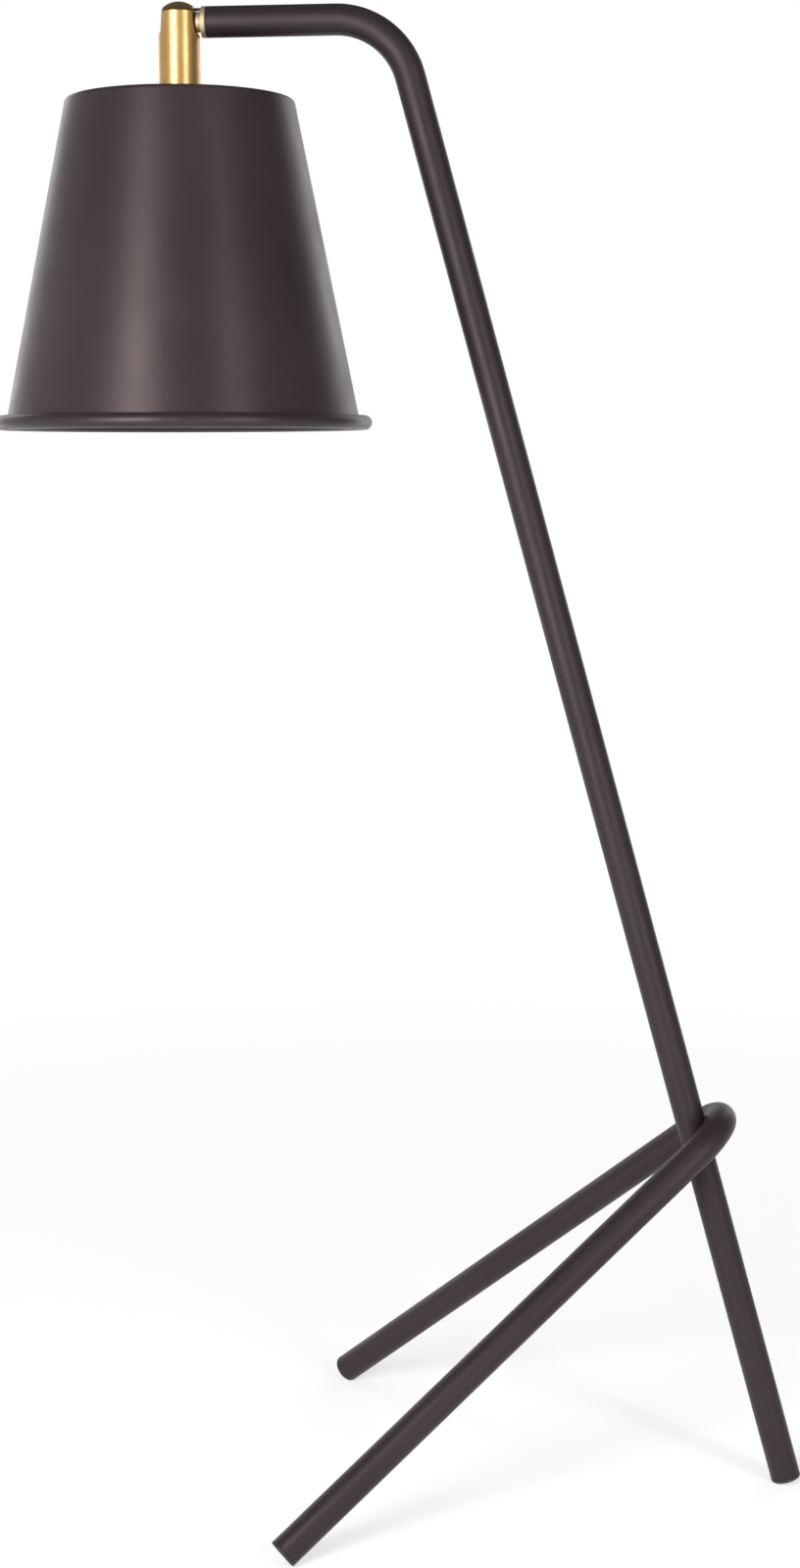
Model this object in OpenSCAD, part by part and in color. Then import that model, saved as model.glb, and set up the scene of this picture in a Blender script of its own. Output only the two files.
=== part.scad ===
// Tripod table lamp: a bent tube pole with a level arm, a hairpin leg that the pole leans into,
// and a spun metal shade that tilts on a brass swivel at the end of the arm. Millimetres, +Z up,
// origin on the floor under the middle of the lamp's width and depth.

/* [Stand tube] */
// Outer diameter of the pole's and the leg's tube
tube_d = 12.7; // [11.6:0.1:14]
// Wall of the tube
tube_wall = 1.5; // [1:0.1:1.7]

/* [Pole] */
// Height of the arm's centre line above the floor
arm_h = 618.5; // [520:0.5:720]
// Length of the arm, from the swivel's stem to the corner where arm and pole lines meet
arm_len = 89.5; // [70:0.5:140]
// Lean of the pole from upright, in degrees
pole_lean = 15.3; // [12:0.1:18]
// Centre line radius of the bend between arm and pole
arm_bend_r = 32; // [26:0.5:42]

/* [Hairpin leg] */
// Slope of the leg's plane below level, in degrees
leg_slope = 41.6; // [38:0.1:46]
// Splay of each straight run from the middle of the hairpin, in degrees
leg_splay = 20.9; // [16:0.1:25]
// Centre line radius of the hairpin's bend
hairpin_r = 23.2; // [21:0.1:28]
// Distance up the pole to where the hairpin is brazed on
joint_s = 162; // [130:1:190]
// Gap between pole and hairpin that the brazing fills
braze_gap = 0.2; // [0.1:0.05:0.4]
// Radius of the brazed spot
braze_r = 3.4; // [2.6:0.1:4.5]

/* [Feet] */
// Thickness of an end plug's head
plug_head_t = 1.5; // [1.2:0.1:2.5]
// Rounding of an end plug's edge
plug_round = 0.6; // [0.3:0.1:0.9]
// Length of an end plug's spigot inside the tube
plug_spigot_l = 8; // [4:0.5:14]
// Depth of the flat where a foot stands on the floor
foot_flat = 0.3; // [0.2:0.05:0.5]

/* [Cord inlet] */
// Distance up the pole to the inlet
inlet_s = 38; // [24:1:90]
// Diameter of the inlet's bore
inlet_bore_d = 5.4; // [4:0.1:5.6]
// Wall of the grommet's barrel
inlet_wall = 1; // [0.7:0.1:1.2]
// How far the grommet's lip reaches beyond the hole
inlet_lip = 1.1; // [0.6:0.1:1.4]
// How far the grommet stands proud of the tube
inlet_proud = 1.2; // [0.6:0.1:2.5]

/* [Wiring] */
// Outer diameter of the lead inside the pole
lead_d = 5; // [4:0.1:5.4]
// Outer diameter of one insulated core
core_d = 1.7; // [1.3:0.1:1.8]
// Distance between the centres of the two cores
core_pitch = 1.9; // [1.8:0.05:2.1]
// Bend radius of the cores where they turn down into the stem
core_bend_r = 2.5; // [2.2:0.1:2.8]

/* [Swivel] */
// Diameter of the swivel's stem
stem_d = 17.2; // [16:0.1:20]
// Height of the stem's domed top above the pivot
dome_h = 8.4; // [8:0.1:11]
// Radius of the dome
dome_r = 10.3; // [9.8:0.1:13]
// Distance from the pivot down to the stem's foot
stem_foot_d = 31.1; // [26:0.1:40]
// Distance from the stem's axis to its turned spot face towards the arm
face_x = 6.3; // [5.4:0.1:6.8]
// Distance from the stem's axis to the lower end of the flat on its far side
flat_x = 6.8; // [6.4:0.05:7.6]
// Slope of the two flats, in degrees, so that the stem narrows upward
flat_slope = 5; // [1:0.5:7]
// How far the near flat, round the spot face, runs below the pivot
face_drop = 2.9; // [2:0.1:6]
// How far the far flat runs below the pivot
flat_drop = 3.4; // [2:0.1:6]
// Radius of the run-out under the near flat
face_runout_r = 3.2; // [2.4:0.1:5]
// Diameter of the hollow spindle
spindle_d = 6; // [5.6:0.1:6.4]
// Bore of the hollow spindle
spindle_bore = 4; // [3.8:0.1:4.2]
// Thickness of the slip washer
slip_t = 1.2; // [0.5:0.1:1.6]
// Diameter of the bushing's neck
neck_d = 8.3; // [8:0.1:8.6]
// Length of the bushing's neck
neck_l = 2.1; // [1.2:0.1:3]
// Thickness of the bushing's flange
flange_t = 2; // [1.8:0.1:3]
// Length of the bushing's spigot inside the arm
spigot_l = 5; // [4:0.5:9]
// Radius at which the stop pin stands from the pivot
stop_r = 5.1; // [5:0.05:5.15]
// Diameter of the stop pin
stop_pin_d = 1.3; // [1.1:0.05:1.4]
// Largest tilt each way, in degrees
tilt_max = 90; // [45:1:120]
// Spindle nut across its flats
pivot_nut_af = 8; // [7.4:0.1:8.2]
// Thickness of the spindle nut
pivot_nut_t = 3; // [2:0.5:4]

/* [Shade] */
// Outer radius of the shade's cone at its rim
shade_rim_r = 74.1; // [66:0.1:82]
// Half angle of the cone, in degrees
shade_angle = 11.4; // [8:0.1:14]
// Height from the shade's top to the middle of its rolled edge
shade_h = 132.5; // [131:0.5:160]
// Thickness of the shade's metal
shade_t = 1; // [0.7:0.05:1.2]
// Radius of the rounded shoulder
shoulder_r = 2; // [1.6:0.1:6]
// Radius of the rolled edge's section
bead_r = 3; // [2.4:0.05:3.6]
// Slit between the rolled edge's lip and the cone
bead_slit = 0.35; // [0.2:0.05:0.6]

/* [Shade fixing] */
// Diameter of the threaded nipple
nipple_d = 10; // [9:0.1:10.5]
// Bore of the threaded nipple
nipple_bore = 7.2; // [6.8:0.1:7.4]
// Length of the nipple's thread inside the stem
nipple_grip = 11; // [8:0.5:13]
// Diameter of the shade's washer
washer_d = 20; // [18:0.5:26]
// Thickness of the shade's washer
washer_t = 1.2; // [0.8:0.1:2]
// Shade nut across its flats
shade_nut_af = 14; // [13:0.5:17]
// Thickness of the shade nut
shade_nut_t = 3; // [2:0.5:5]

/* [Lampholder] */
// Outer diameter of the lampholder
holder_d = 36; // [34.5:0.5:42]
// Wall of the lampholder's cap and body
holder_wall = 2; // [1.6:0.1:2.4]
// Height of the cap, nut to body
cap_h = 13; // [11:0.5:18]
// Height of the body
body_h = 31; // [27:0.5:34]
// Thickness of the floor that carries the contacts
floor_t = 4; // [3:0.5:6]
// Radius at which the terminal screws stand
terminal_r = 9; // [8:0.25:10]
// Diameter of a terminal screw's head
terminal_head_d = 5.6; // [4.5:0.1:6]

/* [Bulb] */
// Diameter of the bulb
bulb_d = 60; // [52:1:64]
// Length of the bulb, contact to crown
bulb_l = 106; // [104:1:110]
// Diameter of the bulb's neck
neck_glass_d = 26; // [24:0.5:27]
// Thickness of the glass
glass_t = 0.8; // [0.6:0.1:1.2]
// Pitch of the bulb's screw thread
cap_pitch = 3.63; // [3.2:0.01:4]
// Mean diameter of the bulb's screw cap
cap_d = 25.4; // [24.5:0.1:25.8]

/* [Hidden] */
$fn = 96;

// Clearances: faces that seat, a spindle that turns, threads and pushed-in spigots, loose holes
seat_gap = 0.05;
running_gap = 0.05;
thread_gap = 0.03;
loose_gap = 0.15;
// How much thinner a bent rod's straight run is than its bend
run_step = 0.02;
// Overrun of a cut beyond the face it opens
over = 1;

// Tube sections
tube_r = tube_d / 2;
bore_r = tube_r - tube_wall;
spigot_r = bore_r - thread_gap;

// Pole: the straight run ends where the bend begins, a tangent length short of the corner
corner_s = arm_h / cos(pole_lean);
bend_tangent = arm_bend_r * tan((90 - pole_lean) / 2);
pole_top_s = corner_s - bend_tangent;
stem_reach = arm_len + arm_h * tan(pole_lean);

// An end plug's lowest edge reaches foot_flat below the floor before its flat is cut
function foot_rise(steep) = (tube_r - plug_round) * sqrt(1 - steep * steep) + plug_round - foot_flat;
pole_steep = cos(pole_lean);
pole_end_s = foot_rise(pole_steep) / pole_steep - plug_round;
pole_tube_s = pole_end_s + plug_head_t;

// The frame's middle in X lies halfway between the shade's rim and the pole's foot
bead_out = (bead_r - shade_t) / cos(shade_angle);
rim_x = shade_rim_r + bead_out;
rim_reach = rim_x + bead_r;
foot_out = (tube_r - plug_round) * cos(pole_lean) + plug_round;
foot_edge_x = foot_out - (pole_end_s + plug_round) * sin(pole_lean);
pole_x = (stem_reach + rim_reach - foot_edge_x) / 2;
stem_x = pole_x - stem_reach;

// Hairpin: its apex lies beside the pole at joint_s, and its middle lies downhill of that
joint_offset = tube_d + braze_gap;
apex_x = pole_x - joint_s * sin(pole_lean) + joint_offset * cos(pole_lean);
apex_z = joint_s * cos(pole_lean) + joint_offset * sin(pole_lean);
hairpin_x = apex_x - hairpin_r * cos(leg_slope);
hairpin_z = apex_z - hairpin_r * sin(leg_slope);
leg_steep = cos(leg_splay) * sin(leg_slope);
leg_start_z = hairpin_z + hairpin_r * sin(leg_splay) * sin(leg_slope);
leg_l = (leg_start_z - foot_rise(leg_steep)) / leg_steep + plug_round;
leg_tube_l = leg_l - plug_head_t;
// Half the angle that the hairpin's bend turns through
hairpin_half = 90 - leg_splay;

// Inlet: the lip's face lies a step below the barrel's end
inlet_step = 0.2;
inlet_bore_r = inlet_bore_d / 2;
inlet_barrel_r = inlet_bore_r + inlet_wall;
inlet_hole_r = inlet_barrel_r + seat_gap;
inlet_lip_r = inlet_barrel_r + inlet_lip;

// Swivel stack along the arm, from the stem's spot face
stem_r = stem_d / 2;
neck_x = face_x + slip_t + seat_gap;
flange_x = neck_x + neck_l;
arm_end_x = flange_x + flange_t;
bushing_end_x = arm_end_x + spigot_l;
spring_t = 1.2;
spindle_tail = 1;
spring_x = bushing_end_x + seat_gap;
nut_x = spring_x + spring_t + seat_gap;
spindle_end_x = nut_x + pivot_nut_t + spindle_tail;
spindle_r = spindle_d / 2;
dome_z = dome_h - dome_r;
stop_groove_depth = 1.3;
stop_pin_r = stop_pin_d / 2;
stop_pin_end_x = flange_x + stop_groove_depth - loose_gap;
stop_pin_grip = 2.4;
stop_half_angle = tilt_max + asin((stop_pin_r + loose_gap) / stop_r);
flat_runout_r = 1.85;
// How far the spot face lies below the lower end of the flat round it
spot_sink = 0.75;

// Wires: the lead starts above the inlet and ends where its jacket is stripped;
// the cores meet face to face at the spindle's far end
lead_rise = 2.5;
lead_strip = 9;
wireway_r = 2.4;
wireway_x = -1;
wireway_top = 2;
core_r = core_d / 2;
lead_r = lead_d / 2;
lead_drop = bore_r - lead_r - seat_gap;
lead_low_s = inlet_s + inlet_hole_r + lead_rise;
split_x = spindle_end_x + seat_gap;
lead_end_x = split_x + lead_strip;
core_turn_x = wireway_x + core_bend_r;

// Shade, with depths measured down from the pivot
shade_top_d = stem_foot_d + seat_gap;
rim_d = shade_top_d + shade_h;
shoulder_steps = 8;
curl_steps = 28;

// Shade fixing and lampholder, stacked downward
washer_d0 = shade_top_d + shade_t + seat_gap;
nut_d0 = washer_d0 + washer_t + seat_gap;
cap_d0 = nut_d0 + shade_nut_t + seat_gap;
body_d0 = cap_d0 + cap_h;
floor_d = body_d0 + floor_t;
body_end_d = body_d0 + body_h;
nipple_top_d = stem_foot_d - nipple_grip;
cap_roof_t = 4;
core_tail = 1.5;
nipple_end_d = cap_d0 + cap_roof_t;
nipple_r = nipple_d / 2;
holder_r = holder_d / 2;
cap_top_r = 11;
cap_skirt = 3;
skirt_t = holder_wall / 2;
// Terminal screws: a slotted head above the floor, a shank through it
head_t = 1.8;
slot_w = 0.9;
shank_r = terminal_head_d / 4;
core_end_d = body_d0 - head_t / 2;
core_down_d = nipple_end_d + core_tail;
core_stop_y = terminal_r - terminal_head_d / 2 - core_r - core_pitch / 2;

// Screw threads of bulb cap and shell are rings of one pitch, nested with a gap
thread_depth = 0.5;
cap_t = 0.35;
shell_t = 0.4;
shell_gap = 0.3;
cap_r = cap_d / 2;
shell_r = cap_r + shell_gap + shell_t;
tip_rise = 3.2;
tip_d = floor_d + tip_rise;
// Height of the holder's floor in the bulb's frame
floor_low = floor_d - tip_d + seat_gap;
// Half length of the centre contact's strip, inside the shell's floor ring
ring_gap = 1;
contact_reach = terminal_r - terminal_head_d / 2 - ring_gap;
contact_t = 1.8;
contact_r = 4.6;
insulator_t = 3.7;
cap_low = contact_t + insulator_t;
cap_turns = 5;
cap_l = cap_turns * cap_pitch;
cap_collar = 2.2;
sleeve_end = cap_low + cap_l;
glass_low = sleeve_end + cap_t + 2 * seat_gap;
neck_l_glass = 6;
neck_end = glass_low + neck_l_glass;

// Bulb glass: the neck's hollow curve touches the globe's circle, and the crown ends in a tiny flat
glass_steps = 12;
crown_a = 3;
bulb_r = bulb_d / 2;
neck_r = neck_glass_d / 2;
globe_z = bulb_l - bulb_r * cos(crown_a);
hollow_r = (pow(globe_z - neck_end, 2) + neck_r * neck_r - bulb_r * bulb_r) / (2 * (bulb_r - neck_r));
hollow_x = neck_r + hollow_r;
hollow_to = atan2(globe_z - neck_end, -hollow_x);
hollow_step = (180 - hollow_to) / glass_steps;

// Glass mount and the wires that are sealed in its top
mount_r = 3;
mount_l = 32;
mount_top = glass_low + mount_l;
wire_r = 0.4;
wire_grip = 3;
wire_root = 1.9;
wire_spread = 10;
wire_top = globe_z + 4;

// ---- Frames that the pieces are placed in ----

// Up the pole from where its centre line meets the floor
module on_pole() {
    translate([pole_x, 0, 0]) rotate([0, -pole_lean, 0]) children();
}

// The hairpin's plane: +X uphill to its apex, origin at its bend's centre
module on_hairpin() {
    translate([hairpin_x, 0, hairpin_z]) rotate([0, -leg_slope, 0]) children();
}

// The swivel's pivot, on the arm's centre line and the stem's axis
module at_pivot() {
    translate([stem_x, 0, arm_h]) children();
}

// A depth below the pivot
module at_depth(d) {
    translate([stem_x, 0, arm_h - d]) children();
}

// The bulb's own frame: +Z from its contact to its crown
module in_bulb() {
    at_depth(tip_d) rotate([180, 0, 0]) children();
}

// ---- Shapes that repeat ----

// Rod along X between two stations
module rod_x(x0, x1, r) {
    translate([x0, 0, 0]) rotate([0, 90, 0]) cylinder(h = x1 - x0, r = r);
}

// Round piece between two depths below the pivot
module disc_down(d0, d1, r) {
    at_depth(d1) cylinder(h = d1 - d0, r = r);
}

// Rod between two points
module rod_between(a, b, r) {
    v = b - a;
    translate(a) rotate([0, acos(v[2] / norm(v)), atan2(v[1], v[0])]) cylinder(h = norm(v), r = r);
}

// Hexagonal prism by its width across flats
module hexagon(af, h) {
    cylinder(h = h, d = af / cos(30), $fn = 6);
}

// Bent rod in the XY plane: an arc from +X round by an angle, and a straight run from each of its ends,
// thinner by a hair and rooted just inside the arc
module bent_rod(r, bend_r, angle, run0, run1) {
    root = 2 * sqrt(bend_r * run_step) / 3;
    rotate_extrude(angle = angle) translate([bend_r, 0]) circle(r = r);
    translate([bend_r, root, 0]) rotate([90, 0, 0]) cylinder(h = run0 + root, r = r - run_step);
    rotate([0, 0, angle]) translate([bend_r, -root, 0]) rotate([-90, 0, 0])
        cylinder(h = run1 + root, r = r - run_step);
}

// One path of the pole: straight run, bend and level arm; inset moves it towards the bend's centre
module pole_path(r, low_s, arm_x, inset = 0) {
    arm_run = arm_len - bend_tangent;
    translate([stem_x + arm_run, 0, arm_h - arm_bend_r]) rotate([90, 0, 0]) rotate([0, 0, pole_lean])
        bent_rod(r, arm_bend_r - inset, 90 - pole_lean, pole_top_s - low_s, arm_run - arm_x);
}

// One path of the hairpin: its bend and two straight runs
module hairpin_path(r, run) {
    on_hairpin() rotate([0, 0, -hairpin_half]) bent_rod(r, hairpin_r, 2 * hairpin_half, run, run);
}

// The start of one straight run, with +Z down the leg
module on_leg(side) {
    translate([hairpin_r * sin(leg_splay), side * hairpin_r * cos(leg_splay), 0])
        rotate([0, 0, side * (180 - leg_splay)]) rotate([0, 90, 0]) children();
}

// End plug, its head's outer face at z = 0 and its spigot along +Z
module end_plug() {
    rotate_extrude() {
        translate([0, plug_round]) square([tube_r, plug_head_t - plug_round - seat_gap]);
        square([tube_r - plug_round, plug_head_t - seat_gap]);
        translate([tube_r - plug_round, plug_round]) circle(r = plug_round);
        square([spigot_r, plug_head_t + plug_spigot_l]);
    }
}

// Everything below the floor, which the feet's flats are cut with
module below_floor() {
    span = 3 * tube_d + 2 * (stem_reach + rim_reach);
    translate([-span / 2, -span / 2, -span]) cube(span);
}

// ---- Stand ----

module pole_tube() {
    color("#3b3335") difference() {
        pole_path(tube_r, pole_tube_s, arm_end_x);
        pole_path(bore_r, pole_tube_s - over, arm_end_x - over);
        on_pole() translate([0, 0, inlet_s]) rotate([-90, 0, 0]) cylinder(h = tube_d, r = inlet_hole_r);
    }
}

module hairpin_leg() {
    color("#3b3335") difference() {
        hairpin_path(tube_r, leg_tube_l);
        hairpin_path(bore_r, leg_tube_l + over);
    }
}

// The brazed spot fills the narrow space round the point where pole and hairpin almost touch
module brazed_joint() {
    color("#3b3335") difference() {
        on_pole() translate([joint_offset / 2, 0, joint_s]) rotate([0, 90, 0]) sphere(r = braze_r);
        pole_path(tube_r, pole_tube_s, arm_end_x);
        hairpin_path(tube_r, leg_tube_l);
    }
}

module pole_plug() {
    color("#1d1b1c") difference() {
        on_pole() translate([0, 0, pole_end_s]) end_plug();
        below_floor();
    }
}

module leg_plugs() {
    color("#1d1b1c") difference() {
        on_hairpin() for (side = [-1, 1]) on_leg(side) translate([0, 0, leg_l]) mirror([0, 0, 1]) end_plug();
        below_floor();
    }
}

// Grommet in the back of the pole: a barrel in the wall and a lip that sits on the tube
module inlet_grommet() {
    span = 4 * inlet_lip_r;
    color("#1d1b1c") on_pole() translate([0, 0, inlet_s]) difference() {
        union() {
            rotate([-90, 0, 0]) translate([0, 0, bore_r])
                cylinder(h = tube_wall + inlet_proud, r = inlet_barrel_r);
            intersection() {
                rotate([-90, 0, 0]) cylinder(h = tube_d, r = inlet_lip_r);
                translate([0, 0, -span / 2]) cylinder(h = span, r = tube_r + inlet_proud - inlet_step);
                difference() {
                    translate([-tube_d, 0, -tube_d]) cube([2 * tube_d, tube_d, 2 * tube_d]);
                    translate([0, 0, -span]) cylinder(h = 2 * span, r = tube_r + seat_gap);
                }
            }
        }
        rotate([-90, 0, 0]) cylinder(h = tube_d, r = inlet_bore_r);
    }
}

module pole_lead() {
    color("#202020") pole_path(lead_r, lead_low_s, lead_end_x, lead_drop);
}

// Two cores that rise from the lead's end to the spindle's mouth
module lead_cores() {
    color("#d8d4c8") at_pivot() intersection() {
        for (side = [-1, 1]) {
            y = side * core_pitch / 2;
            rod_between([lead_end_x + over, y, -lead_drop - over / 4], [split_x - over, y, 0], core_r);
        }
        translate([0, -tube_r, -tube_r]) rod_bounds(split_x, lead_end_x);
    }
}

// Box across the tube between two stations along the arm
module rod_bounds(x0, x1) {
    translate([x0, 0, 0]) cube([x1 - x0, tube_d, tube_d]);
}

module arm_bushing() {
    color("#c9a86a") at_pivot() difference() {
        union() {
            rod_x(neck_x, flange_x + over / 2, neck_d / 2);
            rod_x(flange_x, arm_end_x - seat_gap, tube_r);
            rod_x(arm_end_x - over / 2, bushing_end_x, spigot_r);
        }
        rod_x(neck_x - over, bushing_end_x + over, spindle_r + running_gap);
        translate([flange_x, 0, 0]) rotate([0, 90, 0]) rotate([0, 0, 180 - stop_half_angle])
            rotate_extrude(angle = 2 * stop_half_angle)
                translate([stop_r - stop_pin_r - loose_gap, -over / 4])
                    square([stop_pin_d + 2 * loose_gap, stop_groove_depth + over / 4]);
    }
}

// ---- Swivel ----

// Sloped flat: everything beyond x down to a depth, with a round run-out below
module side_cut(x, drop, r) {
    translate([x, 0, -drop]) rotate([0, -flat_slope, 0]) {
        translate([0, -stem_d, 0]) cube([stem_d, 2 * stem_d, 2 * stem_d]);
        translate([r, stem_d, 0]) rotate([90, 0, 0]) cylinder(h = 2 * stem_d, r = r);
    }
}

module swivel_stem() {
    color("#c39a55") at_pivot() difference() {
        intersection() {
            translate([0, 0, -stem_foot_d]) cylinder(h = stem_foot_d + dome_h + over, r = stem_r);
            union() {
                translate([0, 0, dome_z]) rotate([90, 0, 0]) sphere(r = dome_r);
                translate([0, 0, dome_z - 2 * stem_foot_d]) cylinder(h = 2 * stem_foot_d, r = stem_d);
            }
        }
        side_cut(face_x + spot_sink, face_drop, face_runout_r);
        mirror([1, 0, 0]) side_cut(flat_x, flat_drop, flat_runout_r);
        rod_x(face_x, stem_d, neck_d / 2 + loose_gap);
        rod_x(flange_x - loose_gap, stem_d, tube_r + loose_gap);
        rod_x(wireway_x, face_x + over, spindle_r + thread_gap);
        translate([wireway_x, 0, -stem_foot_d + nipple_grip / 2])
            cylinder(h = stem_foot_d - nipple_grip / 2 + wireway_top, r = wireway_r);
        translate([0, 0, -stem_foot_d - over])
            cylinder(h = nipple_grip + over + seat_gap, r = nipple_r + thread_gap);
        translate([0, 0, stop_r]) rod_x(face_x - stop_pin_grip, face_x + over, stop_pin_r + thread_gap);
    }
}

module pivot_spindle() {
    color("#b9b4aa") at_pivot() difference() {
        rod_x(wireway_x + wireway_r, spindle_end_x, spindle_r);
        rod_x(wireway_x - over, spindle_end_x + over, spindle_bore / 2);
    }
}

module stop_pin() {
    color("#4a4340") at_pivot() translate([0, 0, stop_r])
        rod_x(face_x - stop_pin_grip + seat_gap, stop_pin_end_x, stop_pin_r);
}

module slip_washer() {
    color("#4a3a2c") at_pivot() difference() {
        rod_x(face_x + seat_gap, face_x + slip_t, neck_d / 2);
        rod_x(face_x - over, neck_x + over, spindle_r + thread_gap);
    }
}

// Cone-shaped spring washer that keeps the swivel stiff
module spring_washer() {
    disc_t = spring_t / 2;
    color("#b9b4aa") at_pivot() translate([spring_x, 0, 0]) rotate([0, 90, 0]) rotate_extrude()
        polygon([
            [spindle_r + running_gap, disc_t], [spindle_r + running_gap, spring_t],
            [bore_r - loose_gap, disc_t], [bore_r - loose_gap, 0]
        ]);
}

module pivot_nut() {
    color("#b9b4aa") at_pivot() difference() {
        translate([nut_x, 0, 0]) rotate([0, 90, 0]) hexagon(pivot_nut_af, pivot_nut_t);
        rod_x(nut_x - over, spindle_end_x, spindle_r + thread_gap);
    }
}

// Two cores from the spindle's far end, through the spindle, down the stem and out to the terminals
module head_cores() {
    level_run = spindle_end_x - core_turn_x;
    drop_run = core_down_d + core_r - core_bend_r;
    color("#d8d4c8") at_pivot() for (side = [-1, 1]) translate([0, side * core_pitch / 2, 0]) {
        translate([core_turn_x, 0, -core_bend_r]) rotate([90, 0, 0]) rotate([0, 0, 90])
            bent_rod(core_r, core_bend_r, 90, level_run, drop_run);
        rod_between([wireway_x, 0, -core_down_d], [0, side * core_stop_y, -core_end_d],
            core_r - 2 * run_step);
    }
}

// ---- Shade and its fixing ----

module threaded_nipple() {
    color("#b9b4aa") difference() {
        disc_down(nipple_top_d, nipple_end_d, nipple_r);
        disc_down(nipple_top_d - over, nipple_end_d + over, nipple_bore / 2);
    }
}

// Outer radius of the cone at a depth
function cone_r(d) = shade_rim_r - (rim_d - d) * tan(shade_angle);

// Points along an arc in a half section
function arc_points(centre, r, from, to, steps) =
    [for (i = [0:steps]) let (a = from + (to - from) * i / steps) centre + r * [cos(a), sin(a)]];

// Spun from one sheet: top, rounded shoulder, cone and an edge rolled outward that stops short of the cone
module shade() {
    shoulder_d = shade_top_d + shoulder_r;
    shoulder = [cone_r(shoulder_d) - shoulder_r / cos(shade_angle), -shoulder_d];
    bead = [rim_x, -rim_d];
    hole_r = nipple_r + loose_gap;
    curl_from = 180 + shade_angle;
    curl_to = curl_from + 360 - acos((bead_r - shade_t - bead_slit) / bead_r);
    color("#3b3335") at_pivot() rotate_extrude() polygon(concat(
        [[hole_r, -shade_top_d]],
        arc_points(shoulder, shoulder_r, 90, shade_angle, shoulder_steps),
        arc_points(bead, bead_r - shade_t, curl_from, curl_to, curl_steps),
        arc_points(bead, bead_r, curl_to, curl_from, curl_steps),
        arc_points(shoulder, shoulder_r - shade_t, shade_angle, 90, shoulder_steps),
        [[hole_r, -shade_top_d - shade_t]]
    ));
}

module shade_washer() {
    color("#b9b4aa") difference() {
        disc_down(washer_d0, washer_d0 + washer_t, washer_d / 2);
        disc_down(washer_d0 - over, washer_d0 + washer_t + over, nipple_r + loose_gap);
    }
}

module shade_nut() {
    color("#b9b4aa") difference() {
        at_depth(nut_d0 + shade_nut_t) hexagon(shade_nut_af, shade_nut_t);
        disc_down(nut_d0 - over, nut_d0 + shade_nut_t + over, nipple_r + thread_gap);
    }
}

// ---- Lampholder ----

module holder_cap() {
    color("#222222") at_pivot() rotate_extrude() difference() {
        polygon([
            [nipple_r + thread_gap, -cap_d0], [cap_top_r, -cap_d0], [holder_r, -cap_d0 - cap_h / 2],
            [holder_r, -body_d0 - cap_skirt], [nipple_r + thread_gap, -body_d0 - cap_skirt]
        ]);
        polygon([
            [nipple_r, -cap_d0 - cap_roof_t], [cap_top_r - holder_wall, -cap_d0 - cap_roof_t],
            [holder_r - holder_wall, -cap_d0 - cap_h / 2 - holder_wall], [holder_r - holder_wall, -body_d0],
            [holder_r - skirt_t, -body_d0], [holder_r - skirt_t, -body_d0 - cap_skirt - over],
            [nipple_r, -body_d0 - cap_skirt - over]
        ]);
    }
}

module holder_body() {
    bore = shell_r + thread_depth + shell_t / 2;
    color("#222222") at_pivot() difference() {
        rotate_extrude() difference() {
            polygon([
                [0, -body_d0 - seat_gap], [holder_r - skirt_t - seat_gap, -body_d0 - seat_gap],
                [holder_r - skirt_t - seat_gap, -body_d0 - cap_skirt - seat_gap],
                [holder_r, -body_d0 - cap_skirt - seat_gap], [holder_r, -body_end_d], [0, -body_end_d]
            ]);
            translate([0, -body_end_d - over]) square([bore, body_end_d - floor_d + over]);
        }
        for (y = [-terminal_r, 0, terminal_r]) translate([0, y, -floor_d - over])
            cylinder(h = floor_t + 2 * over, r = shank_r + thread_gap);
    }
}

// Half section of a ringed screw sleeve between two heights, its mean radius r at the outside
module ringed_section(r, t, z0, turns) {
    steps = 4 * turns;
    outer = [for (i = [0:steps]) [r + thread_depth * sin(90 * i), z0 + i * cap_pitch / 4]];
    inner = [for (i = [steps:-1:0]) [r - t + thread_depth * sin(90 * i), z0 + i * cap_pitch / 4]];
    polygon(concat(outer, inner));
}

module screw_shell() {
    floor_x = shell_r - shell_t;
    color("#c9a86a") in_bulb() difference() {
        rotate_extrude() {
            ringed_section(shell_r, shell_t, cap_low, cap_turns);
            translate([floor_x, floor_low]) square([shell_t, cap_low - floor_low]);
            translate([terminal_r - terminal_head_d / 2, floor_low])
                square([shell_r - terminal_r + terminal_head_d / 2, shell_t]);
        }
        for (side = [-1, 1]) translate([0, side * terminal_r, floor_low - over])
            cylinder(h = shell_t + 2 * over, r = shank_r + thread_gap);
    }
}

// Riveted centre contact: a strip on the floor and a tongue folded back over it to the bulb's tip
module centre_contact() {
    tongue_t = 0.5;
    tongue_w = 5;
    tip_low = -tongue_t - seat_gap;
    flat_x0 = contact_reach / 2;
    color("#c9a86a") in_bulb() rotate([90, 0, 0]) {
        linear_extrude(tongue_w, center = true) polygon([
            [-contact_reach, floor_low], [contact_reach, floor_low], [contact_reach, floor_low + tongue_t],
            [tongue_t - contact_reach, floor_low + tongue_t], [-flat_x0, tip_low], [flat_x0, tip_low],
            [flat_x0, tip_low + tongue_t], [-flat_x0, tip_low + tongue_t],
            [-contact_reach, floor_low + 2 * tongue_t]
        ]);
        translate([0, floor_low - floor_t, 0]) rotate([-90, 0, 0])
            cylinder(h = floor_t + tongue_t / 2, r = shank_r);
    }
}

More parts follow.
